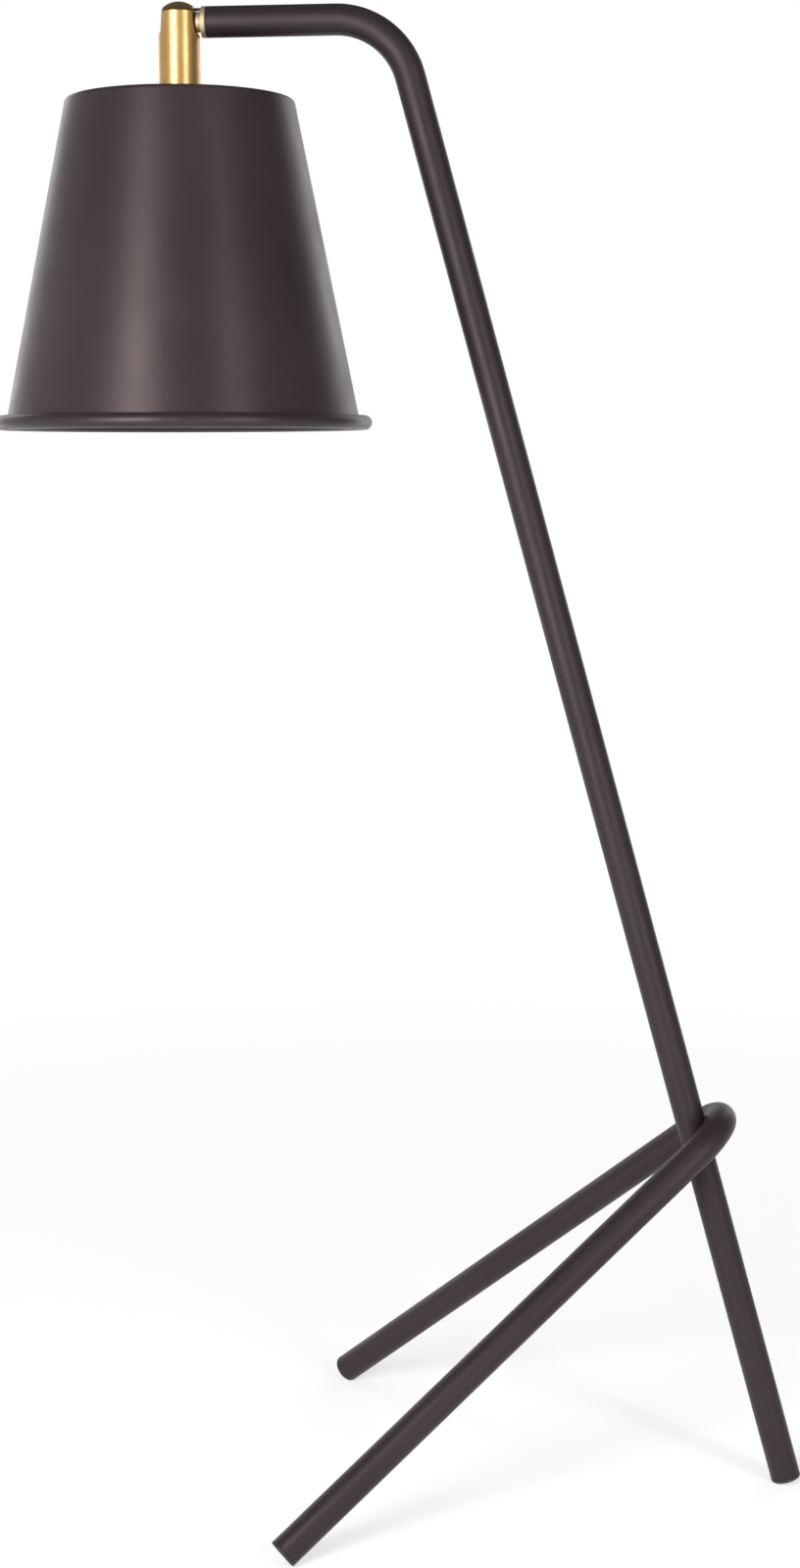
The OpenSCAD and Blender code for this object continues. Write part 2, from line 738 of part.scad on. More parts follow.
module terminal_screws() {
    color("#c9a86a") at_pivot() for (side = [-1, 1]) translate([0, side * terminal_r, 0]) difference() {
        union() {
            translate([0, 0, -body_d0]) cylinder(h = head_t, d = terminal_head_d);
            translate([0, 0, -floor_d - shell_t]) cylinder(h = floor_t + shell_t, r = shank_r);
        }
        translate([-terminal_head_d, -slot_w / 2, -body_d0 + head_t / 2])
            cube([2 * terminal_head_d, slot_w, head_t]);
    }
}

// ---- Bulb ----

// Points of one face of the bulb's glass, inset from the outside: neck, hollow curve, globe, flat crown
function glass_face(inset) = concat(
    [[neck_r - inset, glass_low]],
    arc_points([hollow_x, neck_end], hollow_r + inset, 180, hollow_to + hollow_step, glass_steps - 1),
    arc_points([0, globe_z], bulb_r - inset, hollow_to - 180, 90 - crown_a, 2 * glass_steps),
    [[0, globe_z + (bulb_r - inset) * cos(crown_a)]]
);

module bulb_glass() {
    inner = glass_face(glass_t);
    color("#f2efe6") in_bulb() rotate_extrude()
        polygon(concat(glass_face(0), [for (i = [len(inner) - 1:-1:0]) inner[i]]));
}

// Glass stem that carries the filament, flared out to the neck
module bulb_mount() {
    flare = neck_r - glass_t - seat_gap;
    color("#e6e6e2") in_bulb() difference() {
        rotate_extrude() {
            difference() {
                translate([0, glass_low]) square([flare, flare - mount_r]);
                translate([flare, glass_low + flare - mount_r + seat_gap]) circle(r = flare - mount_r);
            }
            translate([0, glass_low]) square([mount_r, mount_l]);
        }
        lead_wires(wire_r + seat_gap, wire_grip + seat_gap);
    }
}

// The straight wires from the mount's top to the filament's ends, sunk into the mount by a depth
module lead_wires(r, sink) {
    for (side = [-1, 1]) {
        root = [side * wire_root, 0, mount_top];
        tip = [side * wire_spread, 0, wire_top];
        rod_between(root - (tip - root) * sink / norm(tip - root), tip, r);
    }
}

// Two lead wires and a bowed filament between them
module bulb_filament() {
    color("#8a8a8a") in_bulb() {
        lead_wires(wire_r, wire_grip);
        for (side = [-1, 1]) translate([side * wire_spread, 0, wire_top]) sphere(r = 1.5 * wire_r);
        translate([0, 0, wire_top]) rotate([90, 0, 0]) rotate_extrude(angle = 180)
            translate([wire_spread, 0]) circle(r = wire_r);
    }
}

module bulb_cap() {
    cone_low = contact_t + insulator_t / 2;
    color("#c8c8c8") in_bulb() rotate_extrude() {
        ringed_section(cap_r, cap_t, cap_low, cap_turns);
        polygon([
            [cap_r - insulator_t, cone_low], [cap_r - insulator_t + cap_t, cone_low],
            [cap_r, cap_low], [cap_r - cap_t, cap_low]
        ]);
        translate([cap_r - cap_t, sleeve_end - cap_t]) square([cap_t, 2 * cap_t]);
        translate([cap_r - cap_t, sleeve_end + seat_gap])
            square([neck_r - cap_r + 2 * cap_t + seat_gap, cap_t]);
        translate([neck_r + seat_gap, sleeve_end + seat_gap]) square([cap_t, cap_collar]);
    }
}

module bulb_insulator() {
    color("#151515") in_bulb() rotate_extrude()
        polygon([
            [0, contact_t + seat_gap], [cap_r - 2 * insulator_t, contact_t + seat_gap],
            [cap_r - insulator_t - seat_gap, contact_t + insulator_t / 2],
            [cap_r - insulator_t - seat_gap, cap_low], [0, cap_low]
        ]);
}

module bulb_contact() {
    color("#c8c8c8") in_bulb() rotate_extrude()
        polygon([
            [0, 0], [contact_r / 2, 0], [contact_r, contact_t / 2], [contact_r, contact_t], [0, contact_t]
        ]);
}

pole_tube();
hairpin_leg();
brazed_joint();
pole_plug();
leg_plugs();
inlet_grommet();
pole_lead();
lead_cores();
arm_bushing();
swivel_stem();
pivot_spindle();
stop_pin();
slip_washer();
spring_washer();
pivot_nut();
head_cores();
threaded_nipple();
shade();
shade_washer();
shade_nut();
holder_cap();
holder_body();
screw_shell();
centre_contact();
terminal_screws();
bulb_glass();
bulb_mount();
bulb_filament();
bulb_cap();
bulb_insulator();
bulb_contact();
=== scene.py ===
"""Looks of the tripod table lamp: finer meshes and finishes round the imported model.

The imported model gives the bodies, the swivel's joint and every piece's place, all in metres with +Z
up. Sizes below are in millimetres, from the same drawing, and are turned into metres by MM.
"""

import logging
import math
from dataclasses import dataclass, field
from enum import Enum
from typing import Any, ClassVar, Sequence

import bmesh
import bpy
from mathutils import Matrix, Vector


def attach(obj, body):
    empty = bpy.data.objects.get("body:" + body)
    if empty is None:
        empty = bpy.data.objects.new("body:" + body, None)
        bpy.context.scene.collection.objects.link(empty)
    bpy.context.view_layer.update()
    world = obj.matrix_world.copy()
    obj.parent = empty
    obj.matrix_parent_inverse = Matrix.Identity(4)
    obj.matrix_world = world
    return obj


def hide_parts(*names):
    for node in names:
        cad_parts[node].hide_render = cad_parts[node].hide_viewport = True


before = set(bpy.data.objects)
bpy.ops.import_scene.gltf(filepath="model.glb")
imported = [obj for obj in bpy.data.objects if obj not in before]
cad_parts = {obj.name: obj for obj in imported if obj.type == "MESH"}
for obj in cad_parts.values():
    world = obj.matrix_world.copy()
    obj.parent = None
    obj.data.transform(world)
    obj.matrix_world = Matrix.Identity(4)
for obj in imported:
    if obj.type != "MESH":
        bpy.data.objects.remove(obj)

LOG = logging.getLogger("lamp")
MM = 0.001
# How far a cutting tool runs beyond the face that it opens, in millimetres
OVER = 1.0
Colour = tuple[float, float, float, float]
Section = list[tuple[float, float, float]]
Mesh = bmesh.types.BMesh
Material = bpy.types.Material
Socket = bpy.types.NodeSocket


class Body(Enum):
    """The two rigid groups of the lamp."""

    STAND = "stand"
    HEAD = "head"


class Slot(Enum):
    """The record's material slots, one carried by each new piece; the piece's finish is given directly."""

    FRAME_PAINT = "frame_paint"
    SHADE_PAINT = "shade_paint"
    END_PLUG = "end_plug"
    GROMMET = "grommet"
    BRASS = "brass"
    DARK_STEEL = "dark_steel"
    FIBRE = "fibre_washer"
    PHENOLIC = "phenolic"
    BULB_GLASS = "bulb_glass"


def colour(code: str) -> Colour:
    """Turns a screen colour into the linear values that a shader takes.

    Args:
        code: Six hexadecimal digits after a hash sign.

    Returns:
        Linear red, green, blue and an alpha of 1.
    """
    parts = [int(code[i : i + 2], 16) / 255 for i in (1, 3, 5)]
    linear = [c / 12.92 if c <= 0.04045 else ((c + 0.055) / 1.055) ** 2.4 for c in parts]
    return (linear[0], linear[1], linear[2], 1.0)


def grey(level: float) -> Colour:
    """Gives the grey of a linear level."""
    return (level, level, level, 1.0)


# ---- Finishes ----


@dataclass(frozen=True)
class Pattern:
    """A soft random pattern: cells in a metre, detail, and the band of its values that is used."""

    cells: float
    detail: float
    low: float = 0.3
    high: float = 0.7


@dataclass(frozen=True)
class Relief:
    """A fine random relief: cells in a metre, detail, how much of it shows, and its depth in mm."""

    cells: float
    detail: float
    strength: float
    depth: float


class NodeSheet:
    """The node tree of a material or a world, with short calls that add and join its nodes."""

    def __init__(self, name: str, for_world: bool = False) -> None:
        """Starts a material or a world that holds only its first shader and its output.

        Args:
            name: What the material or the world is called.
            for_world: Whether it is a world.
        """
        self.owner = (bpy.data.worlds if for_world else bpy.data.materials).new(name)
        self.owner.use_nodes = True
        self.tree = self.owner.node_tree
        self.shader = self.tree.nodes["Background" if for_world else "Principled BSDF"]

    def add(self, kind: str, inputs: dict[Any, Any] | None = None, **settings: Any) -> bpy.types.Node:
        """Adds a node.

        Args:
            kind: The node's type.
            inputs: Values or sockets for its inputs, by name or number.
            **settings: The node's own properties.

        Returns:
            The new node.
        """
        node = self.tree.nodes.new(kind)
        for key, value in settings.items():
            setattr(node, key, value)
        for key, value in (inputs or {}).items():
            self.feed(node, key, value)
        return node

    def feed(self, node: bpy.types.Node, key: Any, value: Any) -> None:
        """Sets one input of a node to a value, or joins a socket to it.

        Args:
            node: The node.
            key: The input's name or number.
            value: A plain value, or a socket.
        """
        if isinstance(value, Socket):
            self.tree.links.new(value, node.inputs[key])
        else:
            node.inputs[key].default_value = value

    def place(self, stretch: tuple[float, float, float] = (1.0, 1.0, 1.0)) -> Socket:
        """Gives the point on the piece, in metres, stretched along each axis."""
        where = self.add("ShaderNodeTexCoord")
        return self.add("ShaderNodeMapping", {"Vector": where.outputs["Object"], "Scale": stretch}).outputs[0]

    def noise(self, place: Socket, cells: float, detail: float) -> Socket:
        """Gives soft random values, with about so many cells in a metre."""
        node = self.add("ShaderNodeTexNoise", {"Vector": place, "Scale": cells, "Detail": detail})
        return node.outputs["Fac"]

    def pattern(self, place: Socket, kind: Pattern, to_low: float = 0.0, to_high: float = 1.0) -> Socket:
        """Gives a pattern's values, with its band mapped to the two values given."""
        soft = self.noise(place, kind.cells, kind.detail)
        return self.spread(soft, kind.low, kind.high, to_low, to_high)

    def work_out(self, operation: str, *values: Any) -> Socket:
        """Gives the result of one calculation on values or sockets."""
        return self.add("ShaderNodeMath", dict(enumerate(values)), operation=operation).outputs[0]

    def seen(self) -> Socket:
        """Tells what is looked at from what only lights a surface.

        Returns:
            1 where the camera, a mirror or glass looks, and 0 for light on surfaces.
        """
        rays = self.add("ShaderNodeLightPath").outputs
        direct = self.work_out("MAXIMUM", rays["Is Camera Ray"], rays["Is Glossy Ray"])
        return self.work_out("MAXIMUM", direct, rays["Is Transmission Ray"])

    def spread(self, value: Socket, low: float, high: float, to_low: Any, to_high: Any) -> Socket:
        """Maps a value's range to another one, held at its ends."""
        inputs = {"Value": value, "From Min": low, "From Max": high, "To Min": to_low, "To Max": to_high}
        return self.add("ShaderNodeMapRange", inputs).outputs[0]

    def blend(self, share: Socket, first: Any, second: Any) -> Socket:
        """Mixes two colours or colour sockets by a share."""
        node = self.add("ShaderNodeMix", {0: share, 6: first, 7: second}, data_type="RGBA")
        return node.outputs[2]

    def relief(self, place: Socket, kind: Relief, under: Socket | None = None) -> Socket:
        """Turns a random relief into a bumped normal.

        Args:
            place: The point on the piece.
            kind: The relief.
            under: Another bumped normal that it goes on top of.

        Returns:
            The normal.
        """
        height = self.noise(place, kind.cells, kind.detail)
        inputs = {"Height": height, "Strength": kind.strength, "Distance": kind.depth * MM}
        if under is not None:
            inputs["Normal"] = under
        return self.add("ShaderNodeBump", inputs).outputs[0]

    def edges(self, low: float = 0.505, high: float = 0.56) -> Socket:
        """Gives how far a point is on an outward edge, from 0 to 1."""
        point = self.add("ShaderNodeNewGeometry").outputs["Pointiness"]
        return self.spread(point, low, high, 0.0, 1.0)

    def finish(self, **inputs: Any) -> Material | bpy.types.World:
        """Sets the first shader's inputs.

        Args:
            **inputs: Values or sockets by the inputs' names, with spaces written as underscores.

        Returns:
            The finished material or world.
        """
        for key, value in inputs.items():
            self.feed(self.shader, key.replace("_", " "), value)
        return self.owner

    def show(self, shader: Socket) -> Material:
        """Puts another shader on the surface in place of the first one, and returns the material."""
        self.feed(self.tree.nodes["Material Output"], "Surface", shader)
        return self.owner


@dataclass(frozen=True)
class SatinPaint:
    """Sprayed satin paint: soft tone changes, a fine fleck, a slight orange peel and rubbed edges."""

    name: str
    deep: str = "#2d262b"
    main: str = "#372e34"
    fleck: str = "#463c3f"
    rubbed: str = "#554a4b"
    shine: str = "#ffe6e2"
    smooth: float = 0.33
    rough: float = 0.4
    gloss: float = 0.48
    clouds: Pattern = Pattern(14, 3, 0.35, 0.65)
    flecks: Pattern = Pattern(2600, 1, 0.6, 0.72)
    fleck_share: float = 0.55
    wear: Pattern = Pattern(160, 4, 0.45, 0.6)
    edge: tuple[float, float] = (0.56, 0.64)
    smears: Pattern = Pattern(45, 3, 0.35, 0.65)
    peel: Relief = Relief(1300, 2, 0.16, 0.05)
    grain: Relief = Relief(5200, 1, 0.12, 0.02)

    def material(self) -> Material:
        """Builds the paint's material.

        Returns:
            The material.
        """
        sheet = NodeSheet(self.name)
        place = sheet.place()
        base = sheet.blend(sheet.pattern(place, self.clouds), colour(self.deep), colour(self.main))
        base = sheet.blend(sheet.pattern(place, self.flecks, 0.0, self.fleck_share), base, colour(self.fleck))
        edge = sheet.work_out("MULTIPLY", sheet.edges(*self.edge), sheet.pattern(place, self.wear))
        base = sheet.blend(edge, base, colour(self.rubbed))
        smear = sheet.pattern(place, self.smears, self.smooth, self.rough)
        grain = sheet.relief(place, self.grain, sheet.relief(place, self.peel))
        return sheet.finish(
            Base_Color=base, Roughness=smear, Normal=grain,
            Specular_IOR_Level=self.gloss, Specular_Tint=colour(self.shine),
        )


@dataclass(frozen=True)
class TurnedMetal:
    """Bright metal from a lathe or a press: turning lines, faint stains and a darker film."""

    name: str
    bright: str
    stained: str
    smooth: float
    rough: float
    stretch: tuple[float, float, float] = (0.02, 0.02, 1.0)
    lines: Relief = Relief(5200, 3, 0.35, 0.012)
    films: Pattern = Pattern(70, 3, 0.4, 0.7)
    film_share: float = 0.6
    smears: Pattern = Pattern(300, 3)

    def material(self) -> Material:
        """Builds the metal's material.

        Returns:
            The material.
        """
        sheet = NodeSheet(self.name)
        place = sheet.place()
        film = sheet.pattern(place, self.films, 0.0, self.film_share)
        base = sheet.blend(film, colour(self.bright), colour(self.stained))
        shine = sheet.pattern(place, self.smears, self.smooth, self.rough)
        turned = sheet.relief(sheet.place(self.stretch), self.lines)
        return sheet.finish(Base_Color=base, Metallic=1.0, Roughness=shine, Normal=turned)


@dataclass(frozen=True)
class Moulded:
    """Moulded or extruded plastic, rubber or fibre: a fine grain, scuffs and paler edges."""

    name: str
    main: str
    scuffed: str
    smooth: float = 0.5
    rough: float = 0.68
    grain: Relief = Relief(2600, 2, 0.25, 0.04)
    scuffs: Pattern = Pattern(210, 5, 0.52, 0.72)
    scuff_share: float = 0.6
    edge_share: float = 0.4
    smears: Pattern = Pattern(380, 3)

    def material(self) -> Material:
        """Builds the plastic's material.

        Returns:
            The material.
        """
        sheet = NodeSheet(self.name)
        place, pale = sheet.place(), colour(self.scuffed)
        base = sheet.blend(sheet.pattern(place, self.scuffs, 0.0, self.scuff_share), colour(self.main), pale)
        base = sheet.blend(sheet.spread(sheet.edges(), 0.0, 1.0, 0.0, self.edge_share), base, pale)
        gloss = sheet.pattern(place, self.smears, self.smooth, self.rough)
        return sheet.finish(Base_Color=base, Roughness=gloss, Normal=sheet.relief(place, self.grain))


@dataclass(frozen=True)
class LampGlass:
    """Bulb glass, frosted or clear, with faint draw lines in its thickness."""

    name: str
    tint: str
    through: float
    smooth: float
    rough: float
    milk: str = "#fbfaf5"
    clouds: Pattern = Pattern(60, 2)
    cloud_share: float = 0.5
    frost: Pattern = Pattern(900, 3)
    stretch: tuple[float, float, float] = (1.0, 1.0, 0.2)
    waves: Relief = Relief(120, 2, 0.1, 0.05)
    refraction: float = 1.5

    def material(self) -> Material:
        """Builds the glass's material.

        Returns:
            The material.
        """
        sheet = NodeSheet(self.name)
        place = sheet.place()
        cloud = sheet.pattern(place, self.clouds, 0.0, self.cloud_share)
        base = sheet.blend(cloud, colour(self.tint), colour(self.milk))
        frost = sheet.pattern(place, self.frost, self.smooth, self.rough)
        wave = sheet.relief(sheet.place(self.stretch), self.waves)
        return sheet.finish(
            Base_Color=base, Roughness=frost, Normal=wave,
            Transmission_Weight=self.through, IOR=self.refraction,
        )


class Finishes:
    """Every finish on the lamp, each built once and shared by the pieces that have it."""

    def __init__(self) -> None:
        """Builds the materials."""
        # The frame's paint is a darker copy of the shade's paint: painted shade, standing in for the dimmer
        # light on the pole and legs.
        self.frame_paint = SatinPaint(
            "satin paint on steel", "#292228", "#31292e", smooth=0.44, rough=0.52, gloss=0.4
        ).material()
        self.shade_paint = SatinPaint("satin paint on spun metal").material()
        self.stem_brass = TurnedMetal(
            "turned brass, upright", "#d3aa71", "#ba8f57", 0.3, 0.38, lines=Relief(5200, 3, 0.35, 0.006)
        ).material()
        # The bushing's brass is a paler, greyer copy of the stem's brass: painted light, standing in for the
        # bright even sheen on the neck and flange.
        self.bushing_brass_painted_pale = TurnedMetal(
            "turned brass, level", "#d2c4a4", "#c0ab84", 0.56, 0.68, (1.0, 0.02, 0.02)
        ).material()
        self.contact_brass = TurnedMetal("pressed brass", "#d2ad69", "#98713c", 0.25, 0.42).material()
        self.zinc = TurnedMetal("zinc plated steel", "#b9b9b4", "#8d8f8c", 0.3, 0.48).material()
        self.dark_steel = TurnedMetal("blackened steel", "#4b4440", "#2d2928", 0.32, 0.5).material()
        self.tinned = TurnedMetal("tinned wire", "#a3a19c", "#7c7a76", 0.3, 0.45).material()
        self.pressed_aluminium = TurnedMetal("pressed aluminium", "#c9c9c6", "#a4a5a3", 0.24, 0.4).material()
        self.end_plug = Moulded("dark moulded plug", "#2f292b", "#454042").material()
        self.grommet = Moulded(
            "black rubber", "#1c1b1b", "#333131", 0.6, 0.78, Relief(1800, 2, 0.25, 0.04)
        ).material()
        self.jacket = Moulded("black lead jacket", "#222122", "#383637", 0.5, 0.65).material()
        self.core = Moulded("pale core insulation", "#d8d2c4", "#b9b1a0", 0.45, 0.6).material()
        self.fibre = Moulded(
            "brown fibre", "#33261f", "#4d3c30", 0.6, 0.8, Relief(3200, 2, 0.4, 0.04)
        ).material()
        self.phenolic = Moulded(
            "black moulded resin", "#1b1a1b", "#302e2f", 0.28, 0.42, Relief(1500, 2, 0.1, 0.04)
        ).material()
        self.frosted = LampGlass("frosted bulb glass", "#efece2", 0.45, 0.4, 0.55).material()
        self.clear = LampGlass("clear mount glass", "#eef2ee", 0.95, 0.04, 0.1).material()


# ---- Mesh tools ----


def join_rings(mesh: Mesh, first: list, second: list) -> None:
    """Closes the strip between two rings of vertices.

    Args:
        mesh: The mesh that both rings are in.
        first: One ring, or a single point.
        second: The other ring, or a single point.
    """
    count = max(len(first), len(second))
    for i in range(count if count > 1 else 0):
        j = (i + 1) % count
        corners = [first[i % len(first)], first[j % len(first)]]
        corners += [second[j % len(second)], second[i % len(second)]]
        mesh.faces.new(list(dict.fromkeys(corners)))


def arc_angles(start: float, end: float, steps: int) -> list[float]:
    """Gives evenly spaced angles in radians between two in degrees."""
    return [math.radians(start + (end - start) * i / steps) for i in range(steps + 1)]


def arc(centre: tuple[float, float], radius: float, start: float, end: float, steps: int) -> Section:
    """Gives points along an arc of a half section, with angles in degrees."""
    angles = arc_angles(start, end, steps)
    return [(centre[0] + radius * math.cos(a), centre[1] + radius * math.sin(a), 0.0) for a in angles]


def eased(corners: Sequence[tuple[float, float, float]], closed: bool = True, steps: int = 5) -> Section:
    """Rounds the corners of a half section.

    Args:
        corners: Radius, height and rounding of each corner.
        closed: Whether the last corner runs on to the first.
        steps: Facets in each rounding.

    Returns:
        The section's points, plain where the rounding is zero.
    """
    out: Section = []
    count = len(corners)
    for i, (r, z, rounding) in enumerate(corners):
        here = Vector((r, z))
        if rounding <= 0 or (not closed and i in (0, count - 1)):
            out.append((r, z, 0.0))
            continue
        back = (Vector(corners[i - 1][:2]) - here).normalized()
        ahead = (Vector(corners[(i + 1) % count][:2]) - here).normalized()
        reach = rounding / math.tan(max(back.angle(ahead), 0.01) / 2)
        start, end = here + back * reach, here + ahead * reach
        for k in range(steps + 1):
            t = k / steps
            point = start * (1 - t) ** 2 + here * 2 * t * (1 - t) + end * t * t
            out.append((point.x, point.y, 0.0))
    return out


@dataclass
class Turning:
    """A half section turned about its own +Z axis. Each point has a radius, a height and a flute depth."""

    section: Section
    closed: bool = True
    segments: int = 128
    flutes: int = 0

    def mesh(self) -> Mesh:
        """Turns the section about its axis.

        Returns:
            The closed mesh, in metres.
        """
        mesh = bmesh.new()
        rings = []
        for radius, height, flute in self.section:
            if radius < 1e-6:
                rings.append([mesh.verts.new((0, 0, height * MM))])
                continue
            ring = []
            for i in range(self.segments):
                a = 2 * math.pi * i / self.segments
                r = (radius - flute * (0.5 - 0.5 * math.cos(self.flutes * a))) * MM
                ring.append(mesh.verts.new((r * math.cos(a), r * math.sin(a), height * MM)))
            rings.append(ring)
        for i in range(len(rings) - (0 if self.closed else 1)):
            join_rings(mesh, rings[i], rings[(i + 1) % len(rings)])
        bmesh.ops.recalc_face_normals(mesh, faces=mesh.faces)
        return mesh


@dataclass
class BentTube:
    """A round tube along two straight runs and the bend between them, in millimetres."""

    start: Vector
    corner: Vector
    end: Vector
    bend_r: float
    outer_r: float
    inner_r: float
    edge: float = 0.25
    segments: int = 72
    bend_step: float = 2.5

    def stations(self) -> tuple[list[tuple[Vector, Vector]], Vector]:
        """Lays out the centre line.

        Returns:
            The line's points with their directions, and the bend's axis.
        """
        first, last = (self.corner - self.start).normalized(), (self.end - self.corner).normalized()
        turn = first.angle(last)
        reach = self.bend_r * math.tan(turn / 2)
        inward = (last - first * first.dot(last)).normalized()
        bend_start = self.corner - first * reach
        centre = bend_start + inward * self.bend_r
        steps = max(2, round(math.degrees(turn) / self.bend_step))
        line = [(self.start, first)]
        for i in range(steps + 1):
            a = turn * i / steps
            place = centre + self.bend_r * (first * math.sin(a) - inward * math.cos(a))
            line.append((place, first * math.cos(a) + inward * math.sin(a)))
        line.append((self.end, last))
        return line, first.cross(inward)

    def mesh(self) -> Mesh:
        """Sweeps the wall along the centre line, with broken edges at both ends.

        Returns:
            The closed mesh, in metres.
        """
        line, axis = self.stations()
        (start, first), (end, last) = line[0], line[-1]
        outside = [(start, first, self.outer_r - self.edge), (start + first * self.edge, first, self.outer_r)]
        outside += [(place, way, self.outer_r) for place, way in line[1:-1]]
        outside += [(end - last * self.edge, last, self.outer_r), (end, last, self.outer_r - self.edge)]
        inside = [(place, way, self.inner_r) for place, way in line]
        mesh = bmesh.new()
        rings = []
        for place, way, radius in outside + inside[::-1]:
            side = axis.cross(way)
            ring = []
            for i in range(self.segments):
                a = 2 * math.pi * i / self.segments
                out = side * math.cos(a) + axis * math.sin(a)
                ring.append(mesh.verts.new((place + radius * out) * MM))
            rings.append(ring)
        for i, ring in enumerate(rings):
            join_rings(mesh, ring, rings[(i + 1) % len(rings)])
        bmesh.ops.recalc_face_normals(mesh, faces=mesh.faces)
        return mesh


def placed(mesh: Mesh, origin: Vector, axis: Vector, across: Vector) -> Mesh:
    """Moves a mesh from its own frame into the lamp's.

    Args:
        mesh: The mesh, with its axis along +Z.
        origin: Where its origin goes, in millimetres.
        axis: Where its +Z points.
        across: Where its +X points, as nearly as the axis allows.

    Returns:
        The same mesh.
    """
    z = axis.normalized()
    x = (across - z * across.dot(z)).normalized()
    turn = Matrix((x, z.cross(x), z)).transposed().to_4x4()
    bmesh.ops.transform(mesh, matrix=Matrix.Translation(origin * MM) @ turn, verts=mesh.verts)
    return mesh


def rod(start: Vector, end: Vector, radius: float, segments: int = 96) -> Mesh:
    """Makes a round bar as a cutting tool.

    Args:
        start: The middle of one end, in millimetres.
        end: The middle of the other end.
        radius: The bar's radius.
        segments: Facets round the bar.

    Returns:
        The bar's mesh, in metres.
    """
    length = (end - start).length
    section = [(0.0, 0.0, 0.0), (radius, 0.0, 0.0), (radius, length, 0.0), (0.0, length, 0.0)]
    across = Vector((0, 1, 0)) if abs((end - start).normalized().y) < 0.9 else Vector((1, 0, 0))
    return placed(Turning(section, False, segments).mesh(), start, end - start, across)


def cut_at_floor(mesh: Mesh) -> None:
    """Cuts away what lies below the floor and closes the flat.

    Args:
        mesh: The mesh, already in its place.
    """
    parts = list(mesh.verts) + list(mesh.edges) + list(mesh.faces)
    cut = bmesh.ops.bisect_plane(mesh, geom=parts, plane_co=(0, 0, 0), plane_no=(0, 0, 1), clear_inner=True)
    rim = [e for e in cut["geom_cut"] if isinstance(e, bmesh.types.BMEdge)]
    bmesh.ops.holes_fill(mesh, edges=rim, sides=0)
    bmesh.ops.recalc_face_normals(mesh, faces=mesh.faces)


@dataclass
class Piece:
    """A new piece of the lamp: its mesh, what it rides on, its finish and the CAD nodes it stands for."""

    name: str
    body: Body
    slot: Slot
    finish: Material
    nodes: tuple[str, ...]
    crease: float

    def build(self, mesh: Mesh, cutters: Sequence[Mesh] = ()) -> None:
        """Makes the object, carves it, smooths it and puts it on its body.

        Args:
            mesh: The piece's own mesh, which is used up.
            cutters: Meshes to take away from it, which are used up.
        """
        piece = self.stock(self.name, mesh)
        for i, cutter in enumerate(cutters):
            self.carve(piece, self.stock(f"{self.name}_tool_{i}", cutter))
        piece.data.shade_smooth()
        piece.data.set_sharp_from_angle(angle=math.radians(self.crease))
        piece.data.materials.clear()
        piece.data.materials.append(self.finish)
        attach(piece, self.body.value)
        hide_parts(*self.nodes)
        LOG.info("%s: %d faces on %s", self.name, len(piece.data.polygons), self.body.value)

    @staticmethod
    def stock(name: str, mesh: Mesh) -> bpy.types.Object:
        """Turns a mesh into an object of the scene.

        Args:
            name: What the object is called.
            mesh: Its mesh, which is used up.

        Returns:
            The object.
        """
        data = bpy.data.meshes.new(name)
        mesh.to_mesh(data)
        mesh.free()
        piece = bpy.data.objects.new(name, data)
        bpy.context.scene.collection.objects.link(piece)
        return piece

    @staticmethod
    def carve(piece: bpy.types.Object, tool: bpy.types.Object) -> None:
        """Takes the tool's shape away from the piece and deletes the tool.

        Args:
            piece: The object to carve.
            tool: The object whose shape is taken away.
        """
        cut = piece.modifiers.new("cut", "BOOLEAN")
        cut.operation, cut.object, cut.solver = "DIFFERENCE", tool, "EXACT"
        seen = piece.evaluated_get(bpy.context.evaluated_depsgraph_get())
        carved, old = bpy.data.meshes.new_from_object(seen), piece.data
        piece.modifiers.clear()
        piece.data = carved
        bpy.data.meshes.remove(old)
        bpy.data.objects.remove(tool)


def dress(finish: Material, *nodes: str) -> None:
    """Gives carried-over CAD nodes their finish.

    Args:
        finish: The finish's material.
        *nodes: The nodes' names.
    """
    for name in nodes:
        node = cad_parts[name]
        for holder in node.material_slots:
            holder.material = finish
        LOG.info("%s: kept, in %s", name, finish.name)


# ---- The lamp ----

UP = Vector((0, 0, 1))
RIGHT = Vector((1, 0, 0))
BACK = Vector((0, 1, 0))


@dataclass
class Layout:
    """Where the lamp's main axes lie, in millimetres."""

    stem_x: float = -92.609
    pole_x: float = 166.089
    arm_h: float = 618.5
    arm_len: float = 89.5
    pole_lean: float = 15.3

    @property
    def pivot(self) -> Vector:
        """The swivel's pivot, on the arm's centre line and the stem's axis."""
        return Vector((self.stem_x, 0, self.arm_h))

    @property
    def pole_way(self) -> Vector:
        """The direction up the pole."""
        a = math.radians(self.pole_lean)
        return Vector((-math.sin(a), 0, math.cos(a)))

    def up_pole(self, distance: float) -> Vector:
        """The point on the pole's centre line at a distance from the floor."""
        return Vector((self.pole_x, 0, 0)) + self.pole_way * distance

    def depth(self, below: float) -> Vector:
        """The point on the stem's axis at a depth below the pivot."""
        return self.pivot - UP * below

    def station(self, out: float, up: float = 0.0) -> Vector:
        """The point at a distance from the stem's axis towards the arm, and a height above the pivot."""
        return self.pivot + RIGHT * out + UP * up


@dataclass
class Group:
    """What every sub-assembly has: the lamp's axes, the finishes and the body that it rides on."""

    layout: Layout
    finishes: Finishes
    rides: ClassVar[Body] = Body.HEAD

    def piece(
        self, name: str, slot: Slot, finish: Material, *nodes: str, crease: float = 32.0
    ) -> Piece:
        """Starts a new piece of this sub-assembly, in place of the CAD nodes given."""
        return Piece(name, self.rides, slot, finish, nodes, crease)

    def on_stem(self, turning: Turning) -> Mesh:
        """Gives a turning's mesh on the stem's axis, with heights counted from the pivot."""
        return placed(turning.mesh(), self.layout.pivot, UP, RIGHT)

    def on_arm(self, turning: Turning) -> Mesh:
        """Gives a turning's mesh on the arm's axis, with heights counted from the pivot."""
        return placed(turning.mesh(), self.layout.pivot, RIGHT, UP)


